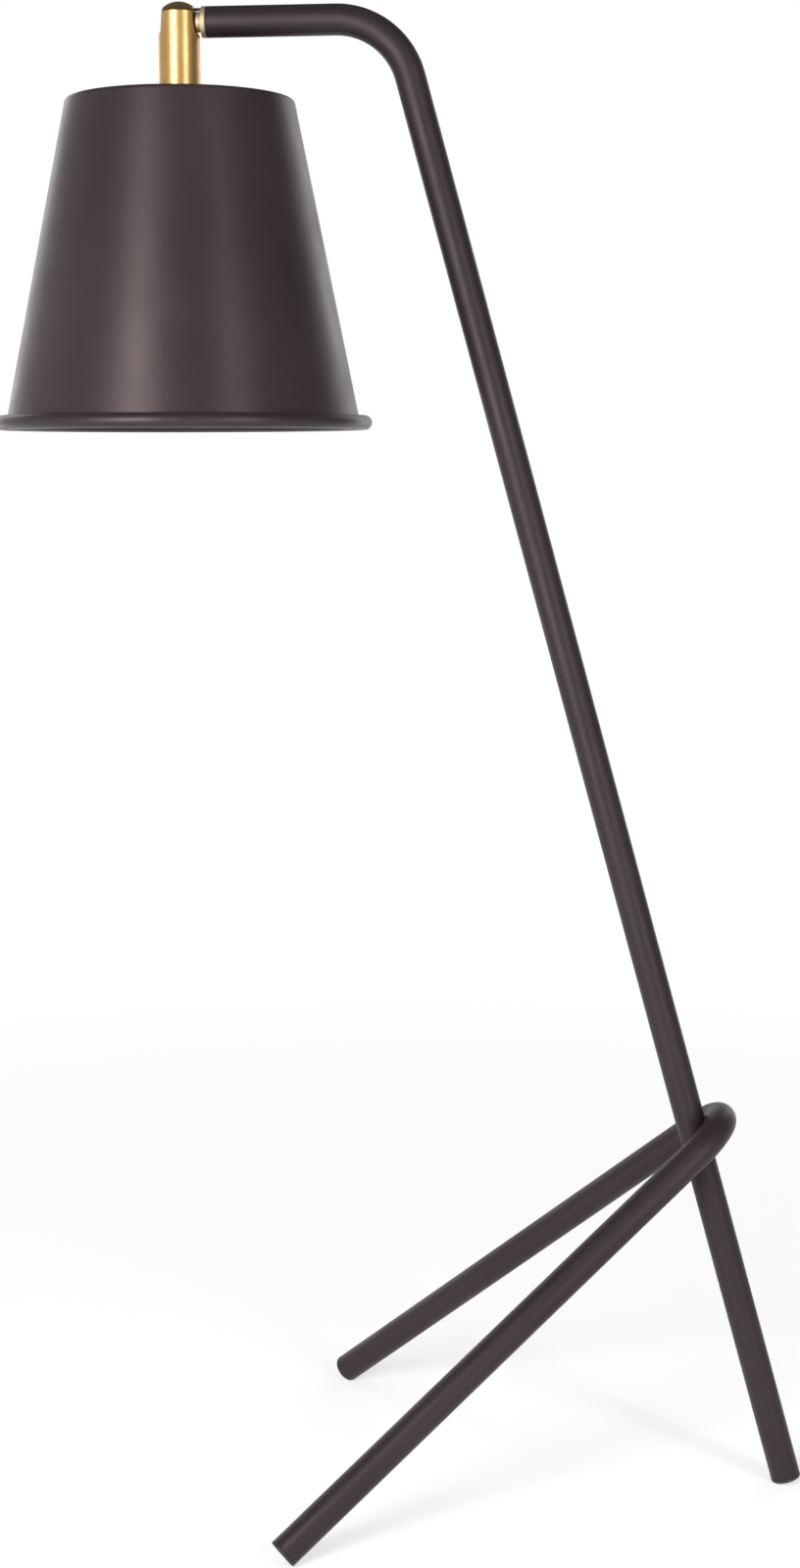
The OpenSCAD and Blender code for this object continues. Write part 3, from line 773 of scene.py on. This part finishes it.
@dataclass
class Stand(Group):
    """Pole with its arm, hairpin leg, plugs, inlet and bushing."""

    rides: ClassVar[Body] = Body.STAND
    tube_r: float = 6.35
    bore_r: float = 4.85
    spigot_r: float = 4.82
    bend_r: float = 32.0
    arm_end_x: float = 11.65
    tube_low: float = 2.784
    hairpin: Vector = field(default_factory=lambda: Vector((118.436, 0, 144.259)))
    hairpin_r: float = 23.2
    slope: float = 41.6
    splay: float = 20.9
    leg_l: float = 234.289
    plug_head: float = 1.5
    plug_round: float = 0.6
    plug_l: float = 9.5
    seat: float = 0.05
    inlet_s: float = 38.0
    inlet_bore_r: float = 2.7
    barrel_r: float = 3.7
    lip_r: float = 4.8
    lip_blend: float = 0.4
    proud: float = 1.2
    step: float = 0.2
    neck_x: float = 7.55
    flange_x: float = 9.65
    neck_r: float = 4.15
    bushing_bore_r: float = 3.05
    bushing_end_x: float = 16.65
    groove: tuple[float, float, float] = (4.3, 5.9, 1.3)
    groove_half: float = 99.03

    def build(self) -> None:
        """Builds every piece of the stand."""
        self.pole()
        self.leg()
        self.plugs()
        self.grommet()
        self.bushing()
        dress(self.finishes.frame_paint, "brazed_joint")
        dress(self.finishes.jacket, "pole_lead")
        dress(self.finishes.core, "lead_cores")

    def pole(self) -> None:
        """The pole and arm, one bent tube with a hole for the inlet."""
        at = self.layout
        tube = BentTube(
            at.up_pole(self.tube_low), at.station(at.arm_len), at.station(self.arm_end_x),
            self.bend_r, self.tube_r, self.bore_r,
        )
        inlet = at.up_pole(self.inlet_s)
        hole = rod(inlet, inlet + BACK * 2 * self.tube_r, self.barrel_r + self.seat)
        piece = self.piece("pole_and_arm", Slot.FRAME_PAINT, self.finishes.frame_paint, "pole_tube")
        piece.build(tube.mesh(), [hole])

    @property
    def uphill(self) -> Vector:
        """The direction up the hairpin's plane, towards its bend."""
        slope = math.radians(self.slope)
        return Vector((math.cos(slope), 0, math.sin(slope)))

    def leg_line(self, side: int, distance: float) -> tuple[Vector, Vector]:
        """Finds a point on one run of the leg.

        Args:
            side: -1 for the front run, 1 for the rear one.
            distance: How far down the run from the end of its bend.

        Returns:
            The point, and the way down the run.
        """
        splay = math.radians(self.splay)
        out = self.uphill * math.sin(splay) + BACK * side * math.cos(splay)
        start = self.hairpin + self.hairpin_r * out
        way = BACK * side * math.sin(splay) - self.uphill * math.cos(splay)
        return start + way * distance, way

    def leg(self) -> None:
        """The hairpin leg, one tube bent round the pole."""
        corner = self.hairpin + self.uphill * self.hairpin_r / math.sin(math.radians(self.splay))
        ends = [self.leg_line(side, self.leg_l - self.plug_head)[0] for side in (-1, 1)]
        tube = BentTube(ends[0], corner, ends[1], self.hairpin_r, self.tube_r, self.bore_r)
        piece = self.piece("hairpin_tube", Slot.FRAME_PAINT, self.finishes.frame_paint, "hairpin_leg")
        piece.build(tube.mesh())

    def plug(self) -> Mesh:
        """An end plug.

        Returns:
            Its mesh, with its outer face at the origin and its spigot along +Z.
        """
        head = self.plug_head - self.seat
        corners = [
            (0, 0, 0), (self.tube_r, 0, self.plug_round), (self.tube_r, head, 0.15),
            (self.spigot_r, head, 0), (self.spigot_r, self.plug_l, 0.4), (0, self.plug_l, 0),
        ]
        return Turning(eased(corners, closed=False), closed=False, segments=72).mesh()

    def plugs(self) -> None:
        """The three end plugs, each with its flat on the floor."""
        at = self.layout
        low = placed(self.plug(), at.up_pole(self.tube_low - self.plug_head), at.pole_way, BACK)
        cut_at_floor(low)
        self.piece("pole_end_plug", Slot.END_PLUG, self.finishes.end_plug, "pole_plug").build(low)
        for name, side in (("front", -1), ("rear", 1)):
            end, way = self.leg_line(side, self.leg_l)
            mesh = placed(self.plug(), end, -way, UP)
            cut_at_floor(mesh)
            self.piece(f"{name}_leg_plug", Slot.END_PLUG, self.finishes.end_plug, "leg_plugs").build(mesh)

    def grommet(self) -> None:
        """The inlet's grommet: a barrel in the wall under a lip that is bent round the tube."""
        crown = self.tube_r + self.proud
        corners = [
            (self.inlet_bore_r, self.bore_r, 0.2), (self.barrel_r, self.bore_r, 0.2),
            (self.barrel_r, self.tube_r, 0), (self.lip_r, self.tube_r + self.seat, 0.1),
            (self.lip_r, crown - self.step, 0.7), (self.barrel_r, crown, 0.3),
            (self.inlet_bore_r, crown, 0.5),
        ]
        mesh = Turning(eased(corners), segments=96).mesh()
        for vertex in mesh.verts:
            reach = math.hypot(vertex.co.x, vertex.co.y)
            share = min(max((reach / MM - self.barrel_r) / self.lip_blend, 0.0), 1.0)
            bend = (self.tube_r - math.sqrt(self.tube_r**2 - (vertex.co.y / MM) ** 2)) * MM
            vertex.co.z -= bend * share
        at = self.layout
        placed(mesh, at.up_pole(self.inlet_s), BACK, at.pole_way)
        self.piece("inlet_ring", Slot.GROMMET, self.finishes.grommet, "inlet_grommet").build(mesh)

    def bushing(self) -> None:
        """The brass bushing in the arm's end, with the groove that the stop pin runs in."""
        tip = self.arm_end_x - self.seat
        corners = [
            (self.bushing_bore_r, self.neck_x, 0.1), (self.neck_r, self.neck_x, 0.2),
            (self.neck_r, self.flange_x, 0.15), (self.tube_r, self.flange_x, 0.3),
            (self.tube_r, tip, 0.15), (self.spigot_r, tip, 0),
            (self.spigot_r, self.bushing_end_x, 0.3), (self.bushing_bore_r, self.bushing_end_x, 0.1),
        ]
        mesh = self.on_arm(Turning(eased(corners)))
        piece = self.piece("swivel_bushing", Slot.BRASS, self.finishes.bushing_brass_painted_pale, "arm_bushing")
        piece.build(mesh, [self.groove_tool()])

    def groove_tool(self) -> Mesh:
        """The part ring that the stop pin's groove is cut with, open side to the stem.

        Returns:
            The ring's mesh.
        """
        low_r, high_r, deep = self.groove
        spots = [(low_r, -OVER), (high_r, -OVER), (high_r, deep), (low_r, deep)]
        at = self.layout.station(self.flange_x)
        mesh, rings = bmesh.new(), []
        for a in arc_angles(-self.groove_half, self.groove_half, 72):
            way = Vector((0, math.sin(a), math.cos(a)))
            rings.append([mesh.verts.new((at + way * r + RIGHT * x) * MM) for r, x in spots])
        for first, second in zip(rings, rings[1:]):
            join_rings(mesh, first, second)
        mesh.faces.new(rings[0])
        mesh.faces.new(rings[-1])
        bmesh.ops.recalc_face_normals(mesh, faces=mesh.faces)
        return mesh


@dataclass
class Swivel(Group):
    """Brass stem with its stop pin and slip washer, and the small parts inside the arm's end."""

    stem_r: float = 8.6
    dome_h: float = 8.4
    dome_r: float = 10.3
    crown: float = 1.5
    foot_d: float = 31.1
    foot_edge: float = 0.35
    face_x: float = 6.3
    spot_sink: float = 0.75
    spot_r: float = 4.3
    clear_x: float = 9.5
    clear_r: float = 6.5
    flat_x: float = 6.8
    flat_slope: float = 5.0
    face_cut: tuple[float, float] = (2.9, 3.2)
    flat_cut: tuple[float, float] = (3.4, 1.85)
    spindle_r: float = 3.03
    wireway_r: float = 2.4
    wireway_x: float = -1.0
    wireway_top: float = 2.0
    nipple_r: float = 5.03
    nipple_grip: float = 11.05
    stop_r: float = 5.1
    pin_r: float = 0.65
    pin_gap: float = 0.03
    pin_x: tuple[float, float] = (3.95, 10.8)
    pin_hole_x: float = 3.9
    washer_x: tuple[float, float] = (6.35, 7.5)
    washer_r: float = 4.15

    def build(self) -> None:
        """Builds the swivel's pieces and dresses the rest."""
        self.stem()
        self.pin()
        self.washer()
        dress(self.finishes.zinc, "pivot_spindle", "spring_washer", "pivot_nut")
        dress(self.finishes.core, "head_cores")

    def side_tool(self, x: float, cut: tuple[float, float], side: int) -> Mesh:
        """The milling tool that leaves a leaning flat on one side of the stem.

        Args:
            x: How far the flat's lower end lies from the stem's axis.
            cut: The depth of that end below the pivot, and the radius of its run-out.
            side: 1 for the arm's side, -1 for the far one.

        Returns:
            The tool, a slab that ends in a round nose.
        """
        drop, nose = cut
        wide, lean = 2 * self.stem_r, math.radians(self.flat_slope)
        tool = bmesh.new()
        outline = [(2 * wide, 2 * wide), (0.0, 2 * wide)]
        outline += [(nose + nose * math.cos(a), nose * math.sin(a)) for a in arc_angles(180, 270, 24)]
        outline += [(2 * wide, -nose)]
        rings = []
        for y in (-wide, wide):
            ring = []
            for out, up in outline:
                across = out * math.cos(lean) - up * math.sin(lean)
                rise = out * math.sin(lean) + up * math.cos(lean)
                spot = self.layout.pivot + Vector((side * (x + across), y, rise - drop))
                ring.append(tool.verts.new(spot * MM))
            rings.append(ring)
        join_rings(tool, rings[0], rings[1])
        for ring in rings:
            tool.faces.new(ring)
        bmesh.ops.recalc_face_normals(tool, faces=tool.faces)
        return tool

    def stem(self) -> None:
        """The domed stem, milled on two sides and drilled for the spindle, the wires and the nipple."""
        foot, centre_z = -self.foot_d, self.dome_h - self.dome_r
        shoulder = math.degrees(math.acos(self.stem_r / self.dome_r))
        side = [(0, foot, 0), (self.stem_r, foot, self.foot_edge), (self.stem_r, 0, 0)]
        section = [(0.0, foot, 0.0)] + eased(side, closed=False)[1:-1]
        section += arc((0.0, centre_z), self.dome_r, shoulder, 90 - self.crown, 26)
        section += [(0.0, self.dome_h, 0.0)]
        at, wide = self.layout, 2 * self.stem_r
        mesh = self.on_stem(Turning(section, closed=False, segments=160))
        across = self.face_x + OVER
        low = at.station(self.wireway_x, self.nipple_grip / 2 - self.foot_d)
        top = at.station(self.wireway_x, self.wireway_top)
        cutters = [
            self.side_tool(self.face_x + self.spot_sink, self.face_cut, 1),
            self.side_tool(self.flat_x, self.flat_cut, -1),
            rod(at.station(self.face_x), at.station(wide), self.spot_r),
            rod(at.station(self.clear_x), at.station(wide), self.clear_r),
            rod(at.station(self.wireway_x), at.station(across), self.spindle_r),
            rod(low, top, self.wireway_r),
            rod(at.depth(self.foot_d + OVER), at.depth(self.foot_d - self.nipple_grip), self.nipple_r),
        ]
        pin_hole = (at.station(self.pin_hole_x, self.stop_r), at.station(across, self.stop_r))
        cutters.append(rod(*pin_hole, self.pin_r + self.pin_gap, 48))
        piece = self.piece("stem_turned", Slot.BRASS, self.finishes.stem_brass, "swivel_stem", crease=26.0)
        piece.build(mesh, cutters)

    def pin(self) -> None:
        """The stop pin, with broken ends."""
        low, high = self.pin_x
        corners = [(0, low, 0), (self.pin_r, low, 0.15), (self.pin_r, high, 0.25), (0, high, 0)]
        mesh = Turning(eased(corners, closed=False), closed=False, segments=48).mesh()
        placed(mesh, self.layout.pivot + UP * self.stop_r, RIGHT, UP)
        self.piece("stop_peg", Slot.DARK_STEEL, self.finishes.dark_steel, "stop_pin").build(mesh)

    def washer(self) -> None:
        """The fibre washer between the stem and the bushing."""
        low, high = self.washer_x
        corners = [
            (self.spindle_r, low, 0.1), (self.washer_r, low, 0.15),
            (self.washer_r, high, 0.15), (self.spindle_r, high, 0.1),
        ]
        mesh = self.on_arm(Turning(eased(corners)))
        self.piece("fibre_ring", Slot.FIBRE, self.finishes.fibre, "slip_washer").build(mesh)


@dataclass
class Shade(Group):
    """The spun cone with its rounded shoulder and rolled edge, and the parts that clamp it."""

    top_d: float = 31.15
    height: float = 132.5
    rim_r: float = 74.1
    half_angle: float = 11.4
    wall: float = 1.0
    shoulder_r: float = 2.0
    bead_r: float = 3.0
    slit: float = 0.35
    hole_r: float = 5.15

    def build(self) -> None:
        """Builds the shade and dresses its fixing."""
        self.cone()
        dress(self.finishes.zinc, "threaded_nipple", "shade_washer", "shade_nut")

    def cone(self) -> None:
        """The shade's sheet, from the hole in its top to the lip of its rolled edge."""
        slant = math.radians(self.half_angle)
        rim_d, shoulder_d = self.top_d + self.height, self.top_d + self.shoulder_r
        at_shoulder = self.rim_r - (rim_d - shoulder_d) * math.tan(slant)
        shoulder = (at_shoulder - self.shoulder_r / math.cos(slant), -shoulder_d)
        bead = (self.rim_r + (self.bead_r - self.wall) / math.cos(slant), -rim_d)
        start = 180 + self.half_angle
        end = start + 360 - math.degrees(math.acos((self.bead_r - self.wall - self.slit) / self.bead_r))
        section = [(self.hole_r, -self.top_d, 0.0)]
        section += arc(shoulder, self.shoulder_r, 90, self.half_angle, 16)
        section += arc(bead, self.bead_r - self.wall, start, end, 44)
        section += arc(bead, self.bead_r, end, start, 60)
        section += arc(shoulder, self.shoulder_r - self.wall, self.half_angle, 90, 16)
        section += [(self.hole_r, -self.top_d - self.wall, 0.0)]
        mesh = self.on_stem(Turning(section, segments=288))
        piece = self.piece("spun_shade", Slot.SHADE_PAINT, self.finishes.shade_paint, "shade", crease=50.0)
        piece.build(mesh)


@dataclass
class Lampholder(Group):
    """Moulded cap and body, with the contacts inside."""

    cap_d: float = 36.5
    body_d: float = 49.5
    end_d: float = 80.5
    floor_d: float = 53.5
    outer_r: float = 18.0
    top_r: float = 11.0
    wall: float = 2.0
    roof: float = 4.0
    skirt: float = 3.0
    nipple_r: float = 5.03
    seat: float = 0.05
    bore_r: float = 14.1
    shank_r: float = 1.43
    terminal_r: float = 9.0
    ribs: int = 44
    rib_facets: int = 8
    rib_depth: float = 0.45
    rib_run: float = 1.2
    line_rises: tuple[float, float] = (7.5, 4.5)
    line_depth: float = 0.45

    def build(self) -> None:
        """Builds the holder's mouldings and dresses its contacts."""
        self.cap()
        self.body()
        dress(self.finishes.contact_brass, "screw_shell", "centre_contact", "terminal_screws")

    def ribbed(self, high: float, low: float) -> Section:
        """Lays out a ribbed band.

        Args:
            high: The height of its upper end.
            low: The height of its lower end.

        Returns:
            Points down the band, with the ribs run out at both ends.
        """
        deep, run = self.rib_depth, self.rib_run
        depths = [(high, 0.0), (high - run, deep), (low + run, deep), (low, 0.0)]
        return [(self.outer_r, z, depth) for z, depth in depths]

    def cap(self) -> None:
        """The cap that screws on to the nipple, with finger ribs."""
        top, roof = -self.cap_d, -self.cap_d - self.roof
        half = top - (self.body_d - self.cap_d) / 2
        lap, low = -self.body_d, -self.body_d - self.skirt
        inner_r, lap_r = self.outer_r - self.wall, self.outer_r - self.wall / 2
        section = eased([
            (self.nipple_r, top - 1, 0), (self.nipple_r, top, 0.3), (self.top_r, top, 1.0),
            (self.outer_r, half, 1.5), (self.outer_r, half - 3, 0),
        ], closed=False)
        section += self.ribbed(half - 3.2, low + 0.6)
        section += eased([
            (self.outer_r, low + 0.5, 0), (self.outer_r, low, 0.3), (lap_r, low, 0.1), (lap_r, lap, 0),
            (inner_r, lap, 0), (inner_r, half - self.wall, 0.8), (self.top_r - self.wall, roof, 0.5),
            (self.nipple_r, roof, 0),
        ], closed=False)
        mesh = self.on_stem(Turning(section, segments=self.ribs * self.rib_facets, flutes=self.ribs))
        self.piece("holder_cap_moulding", Slot.PHENOLIC, self.finishes.phenolic, "holder_cap").build(mesh)

    def body(self) -> None:
        """The body round the screw shell, with two turned lines near its mouth."""
        lap_r, top = self.outer_r - self.wall / 2 - self.seat, -self.body_d - self.seat
        lap, mouth = -self.body_d - self.skirt - self.seat, -self.end_d
        corners = [(0, top, 0), (lap_r, top, 0.2), (lap_r, lap, 0), (self.outer_r, lap, 0.3)]
        for rise in self.line_rises:
            line = mouth + rise
            corners += [(self.outer_r, line + 0.5, 0.15), (self.outer_r - self.line_depth, line, 0.2)]
            corners += [(self.outer_r, line - 0.5, 0.15)]
        corners += [(self.outer_r, mouth, 0.8), (self.bore_r, mouth, 0.8)]
        corners += [(self.bore_r, -self.floor_d, 0.4), (0, -self.floor_d, 0)]
        mesh = self.on_stem(Turning(eased(corners, closed=False), closed=False, segments=160))
        low, high = self.layout.depth(self.floor_d + OVER), self.layout.depth(self.body_d - OVER)
        across = [BACK * y for y in (-self.terminal_r, 0.0, self.terminal_r)]
        holes = [rod(low + y, high + y, self.shank_r, 40) for y in across]
        piece = self.piece("holder_body_moulding", Slot.PHENOLIC, self.finishes.phenolic, "holder_body")
        piece.build(mesh, holes)


@dataclass
class Bulb(Group):
    """The globe bulb: its frosted glass, and the mount, wires and cap inside and below it."""

    tip_d: float = 56.7
    length: float = 106.0
    globe_r: float = 30.0
    neck_r: float = 13.0
    glass: float = 0.8
    low: float = 24.1
    neck_end: float = 30.1
    crown: float = 3.0

    def build(self) -> None:
        """Builds the glass and dresses what it holds."""
        self.envelope()
        dress(self.finishes.clear, "bulb_mount")
        dress(self.finishes.tinned, "bulb_filament", "bulb_contact")
        dress(self.finishes.pressed_aluminium, "bulb_cap")
        dress(self.finishes.phenolic, "bulb_insulator")

    def face(self, inset: float) -> Section:
        """Lays out one face of the glass.

        Args:
            inset: How far the face lies inside the bulb's outline.

        Returns:
            Its points from the neck to the crown.
        """
        flat = math.cos(math.radians(self.crown))
        globe_z = self.length - self.globe_r * flat
        rise = globe_z - self.neck_end
        hollow = (rise**2 + self.neck_r**2 - self.globe_r**2) / (2 * (self.globe_r - self.neck_r))
        centre_r = self.neck_r + hollow
        touch = math.degrees(math.atan2(rise, -centre_r))
        points = [(self.neck_r - inset, self.low, 0.0)]
        points += arc((centre_r, self.neck_end), hollow + inset, 180, touch, 24)[:-1]
        points += arc((0.0, globe_z), self.globe_r - inset, touch - 180, 90 - self.crown, 56)
        return points + [(0.0, globe_z + (self.globe_r - inset) * flat, 0.0)]

    def envelope(self) -> None:
        """The glass, one closed shell."""
        mesh = Turning(self.face(0.0) + self.face(self.glass)[::-1], segments=144).mesh()
        placed(mesh, self.layout.depth(self.tip_d), -UP, RIGHT)
        self.piece("globe_glass", Slot.BULB_GLASS, self.finishes.frosted, "bulb_glass").build(mesh)


# ---- Studio ----


@dataclass
class Softbox:
    """A tall or flat lamp behind white cloth, aimed at the lamp."""

    name: str
    azimuth: float
    height: float
    distance: float
    width: float
    tall: float
    level: float
    mirrored: bool = True

    def build(self, aim: Vector) -> None:
        """Hangs the softbox, all in metres, with azimuth 0 on the camera's side.

        Args:
            aim: The point that it is turned to.
        """
        data = bpy.data.lights.new(self.name, "AREA")
        data.shape, data.size, data.size_y = "RECTANGLE", self.width, self.tall
        data.energy = 4 * self.level * self.width * self.tall
        box = bpy.data.objects.new(self.name, data)
        box.visible_glossy = self.mirrored
        a = math.radians(self.azimuth)
        out = Vector((math.sin(a), -math.cos(a), 0)) * self.distance
        box.location = aim + out + UP * (self.height - aim.z)
        box.rotation_mode = "QUATERNION"
        box.rotation_quaternion = (aim - box.location).to_track_quat("-Z", "Y")
        bpy.context.scene.collection.objects.link(box)


@dataclass
class Screen:
    """A round cloth screen with a dim roof, which only gloss and metal see, for their greys."""

    radius: float = 2.0
    low: float = -0.4
    high: float = 2.6
    bright_to: float = 1.2
    dim_from: float = 1.75
    dim: float = 0.14
    levels: tuple[tuple[float, float], ...] = (
        (-180, 1.0), (-150, 0.85), (-105, 0.75), (-75, 0.65), (-50, 0.6), (-10, 0.55), (15, 0.6), (35, 0.6),
        (55, 0.45), (70, 0.36), (105, 0.28), (125, 0.4), (150, 0.85), (180, 1.0),
    )
    segments: int = 96

    def build(self) -> None:
        """Stands the screen round the lamp, with its tone by azimuth and azimuth 0 on the camera's side."""
        mesh = bmesh.new()
        depth = self.high - self.low
        bmesh.ops.create_cone(
            mesh, cap_ends=True, segments=self.segments, radius1=self.radius, radius2=self.radius, depth=depth
        )
        bmesh.ops.translate(mesh, verts=mesh.verts, vec=(0, 0, self.low + depth / 2))
        under = [face for face in mesh.faces if face.calc_center_median().z < self.low + depth / 4]
        bmesh.ops.delete(mesh, geom=under, context="FACES")
        screen = Piece.stock("studio_screen", mesh)
        screen.data.materials.append(self.cloth())
        screen.visible_camera = screen.visible_diffuse = False
        screen.visible_shadow = screen.visible_transmission = screen.visible_volume_scatter = False

    def cloth(self) -> Material:
        """The screen's cloth, lit by itself to the level of its azimuth and dimmer towards the top.

        Returns:
            The cloth's material.
        """
        sheet = NodeSheet("screen cloth")
        parts = sheet.add("ShaderNodeSeparateXYZ", {0: sheet.place()})
        front = sheet.work_out("MULTIPLY", parts.outputs["Y"], -1.0)
        turn = sheet.work_out("ARCTAN2", parts.outputs["X"], front)
        share = sheet.spread(turn, -math.pi, math.pi, 0.0, 1.0)
        ramp = sheet.add("ShaderNodeValToRGB", {0: share})
        stops = ramp.color_ramp.elements
        (_, first), *middle, (_, last) = self.levels
        stops[0].color, stops[1].color = grey(first), grey(last)
        for azimuth, level in middle:
            stops.new((azimuth + 180) / 360).color = grey(level)
        fade = sheet.spread(parts.outputs["Z"], self.bright_to, self.dim_from, 1.0, self.dim)
        glow = sheet.add("ShaderNodeEmission", {"Color": ramp.outputs[0], "Strength": fade})
        return sheet.show(glow.outputs[0])


@dataclass
class Studio:
    """Pale floor, white surround, softboxes, grey screen for reflections, and the camera."""

    aim: Vector = field(default_factory=lambda: Vector((-0.02, 0.0, 0.33)))
    floor_r: float = 6.0
    floor_tones: tuple[float, float] = (0.92, 0.9)
    ambient: float = 0.46
    ambient_ends: float = 0.14
    ambient_span: tuple[float, float] = (0.2, 0.8)
    white_span: tuple[float, float] = (0.35, 1.0)
    bounce: float = 0.08
    lift: float = 0.48
    focal_px: float = 2571.58
    frame_h: float = 1600.0
    eye: Vector = field(default_factory=lambda: Vector((0.10651, -1.05733, 0.43746)))
    yaw: float = -5.8411
    pitch: float = 7.2343
    roll: float = 0.133

    def build(self) -> None:
        """Sets the whole studio."""
        self.camera()
        self.surround()
        self.floor()
        Screen().build()
        for box in (
            Softbox("left_softbox", -24, 0.54, 1.45, 0.48, 1.3, 8.2),
            Softbox("right_softbox", 43, 0.54, 1.45, 0.26, 1.3, 5.2),
            Softbox("top_softbox", 10, 2.0, 0.3, 0.9, 0.9, 0.25, mirrored=False),
            Softbox("rear_left_softbox", -140, 0.62, 1.5, 0.4, 1.4, 1.0),
            Softbox("rear_right_softbox", 150, 0.62, 1.5, 0.4, 1.4, 1.0),
        ):
            box.build(self.aim)
        bpy.context.scene.view_settings.view_transform = "Standard"

    def camera(self) -> None:
        """The camera, where the photograph was taken from."""
        yaw, pitch, roll = (math.radians(v) for v in (self.yaw, self.pitch, self.roll))
        level = Vector((math.sin(yaw), math.cos(yaw), 0))
        side = Vector((math.cos(yaw), -math.sin(yaw), 0))
        ahead = level * math.cos(pitch) - UP * math.sin(pitch)
        down = -(level * math.sin(pitch) + UP * math.cos(pitch))
        right = side * math.cos(roll) + down * math.sin(roll)
        low = down * math.cos(roll) - side * math.sin(roll)
        data = bpy.data.cameras.new("view")
        data.lens = data.sensor_width * self.focal_px / self.frame_h
        view = bpy.data.objects.new("view", data)
        turn = Matrix((right, -low, -ahead)).transposed().to_4x4()
        view.matrix_world = Matrix.Translation(self.eye) @ turn
        bpy.context.scene.collection.objects.link(view)
        bpy.context.scene.camera = view

    def surround(self) -> None:
        """A surround that looks white, and lights surfaces more softly and mostly from the sides."""
        sheet = NodeSheet("surround", for_world=True)
        way = sheet.add("ShaderNodeTexCoord").outputs["Generated"]
        steep = sheet.work_out("ABSOLUTE", sheet.add("ShaderNodeSeparateXYZ", {0: way}).outputs["Z"])
        soft = sheet.spread(steep, *self.ambient_span, self.ambient, self.ambient_ends)
        level = sheet.spread(sheet.seen(), 0.0, 1.0, soft, 1.0)
        bpy.context.scene.world = sheet.finish(Color=grey(1.0), Strength=level)

    def floor(self) -> None:
        """A round pale floor that keeps the lamp's shadow and runs out into white."""
        mesh = bmesh.new()
        bmesh.ops.create_circle(mesh, cap_ends=True, radius=self.floor_r, segments=96)
        floor = Piece.stock("studio_floor", mesh)
        sheet = NodeSheet("pale floor")
        place, seen = sheet.place(), sheet.seen()
        distance = sheet.add("ShaderNodeVectorMath", {0: place}, operation="LENGTH").outputs["Value"]
        white = sheet.spread(distance, *self.white_span, 0.0, 1.0)
        pale = sheet.blend(sheet.noise(place, 9, 2), *(grey(level) for level in self.floor_tones))
        tone = sheet.blend(seen, grey(self.bounce), pale)
        lift = sheet.spread(seen, 0.0, 1.0, 0.0, self.lift)
        sheet.finish(
            Base_Color=tone, Roughness=0.9, Specular_IOR_Level=0.1,
            Emission_Color=grey(1.0), Emission_Strength=lift,
        )
        glow = sheet.add("ShaderNodeEmission", {"Color": grey(1.0), "Strength": 1.0}).outputs[0]
        edge = sheet.work_out("MULTIPLY", white, seen)
        mix = sheet.add("ShaderNodeMixShader", {0: edge, 1: sheet.shader.outputs[0], 2: glow})
        floor.data.materials.append(sheet.show(mix.outputs[0]))


def corners(box: tuple[Vector, Vector]) -> list[list[float]]:
    return [[float(v) for v in corner] for corner in box]


def main() -> None:
    """Builds the lamp and its studio."""
    logging.basicConfig(level=logging.INFO, format="%(message)s")
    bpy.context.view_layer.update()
    layout, finishes = Layout(), Finishes()
    for group in (
        Stand(layout, finishes),
        Swivel(layout, finishes),
        Shade(layout, finishes),
        Lampholder(layout, finishes),
        Bulb(layout, finishes),
    ):
        LOG.info("-- %s", type(group).__name__)
        group.build()
    Studio().build()
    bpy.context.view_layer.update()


if __name__ == "__main__":
    main()
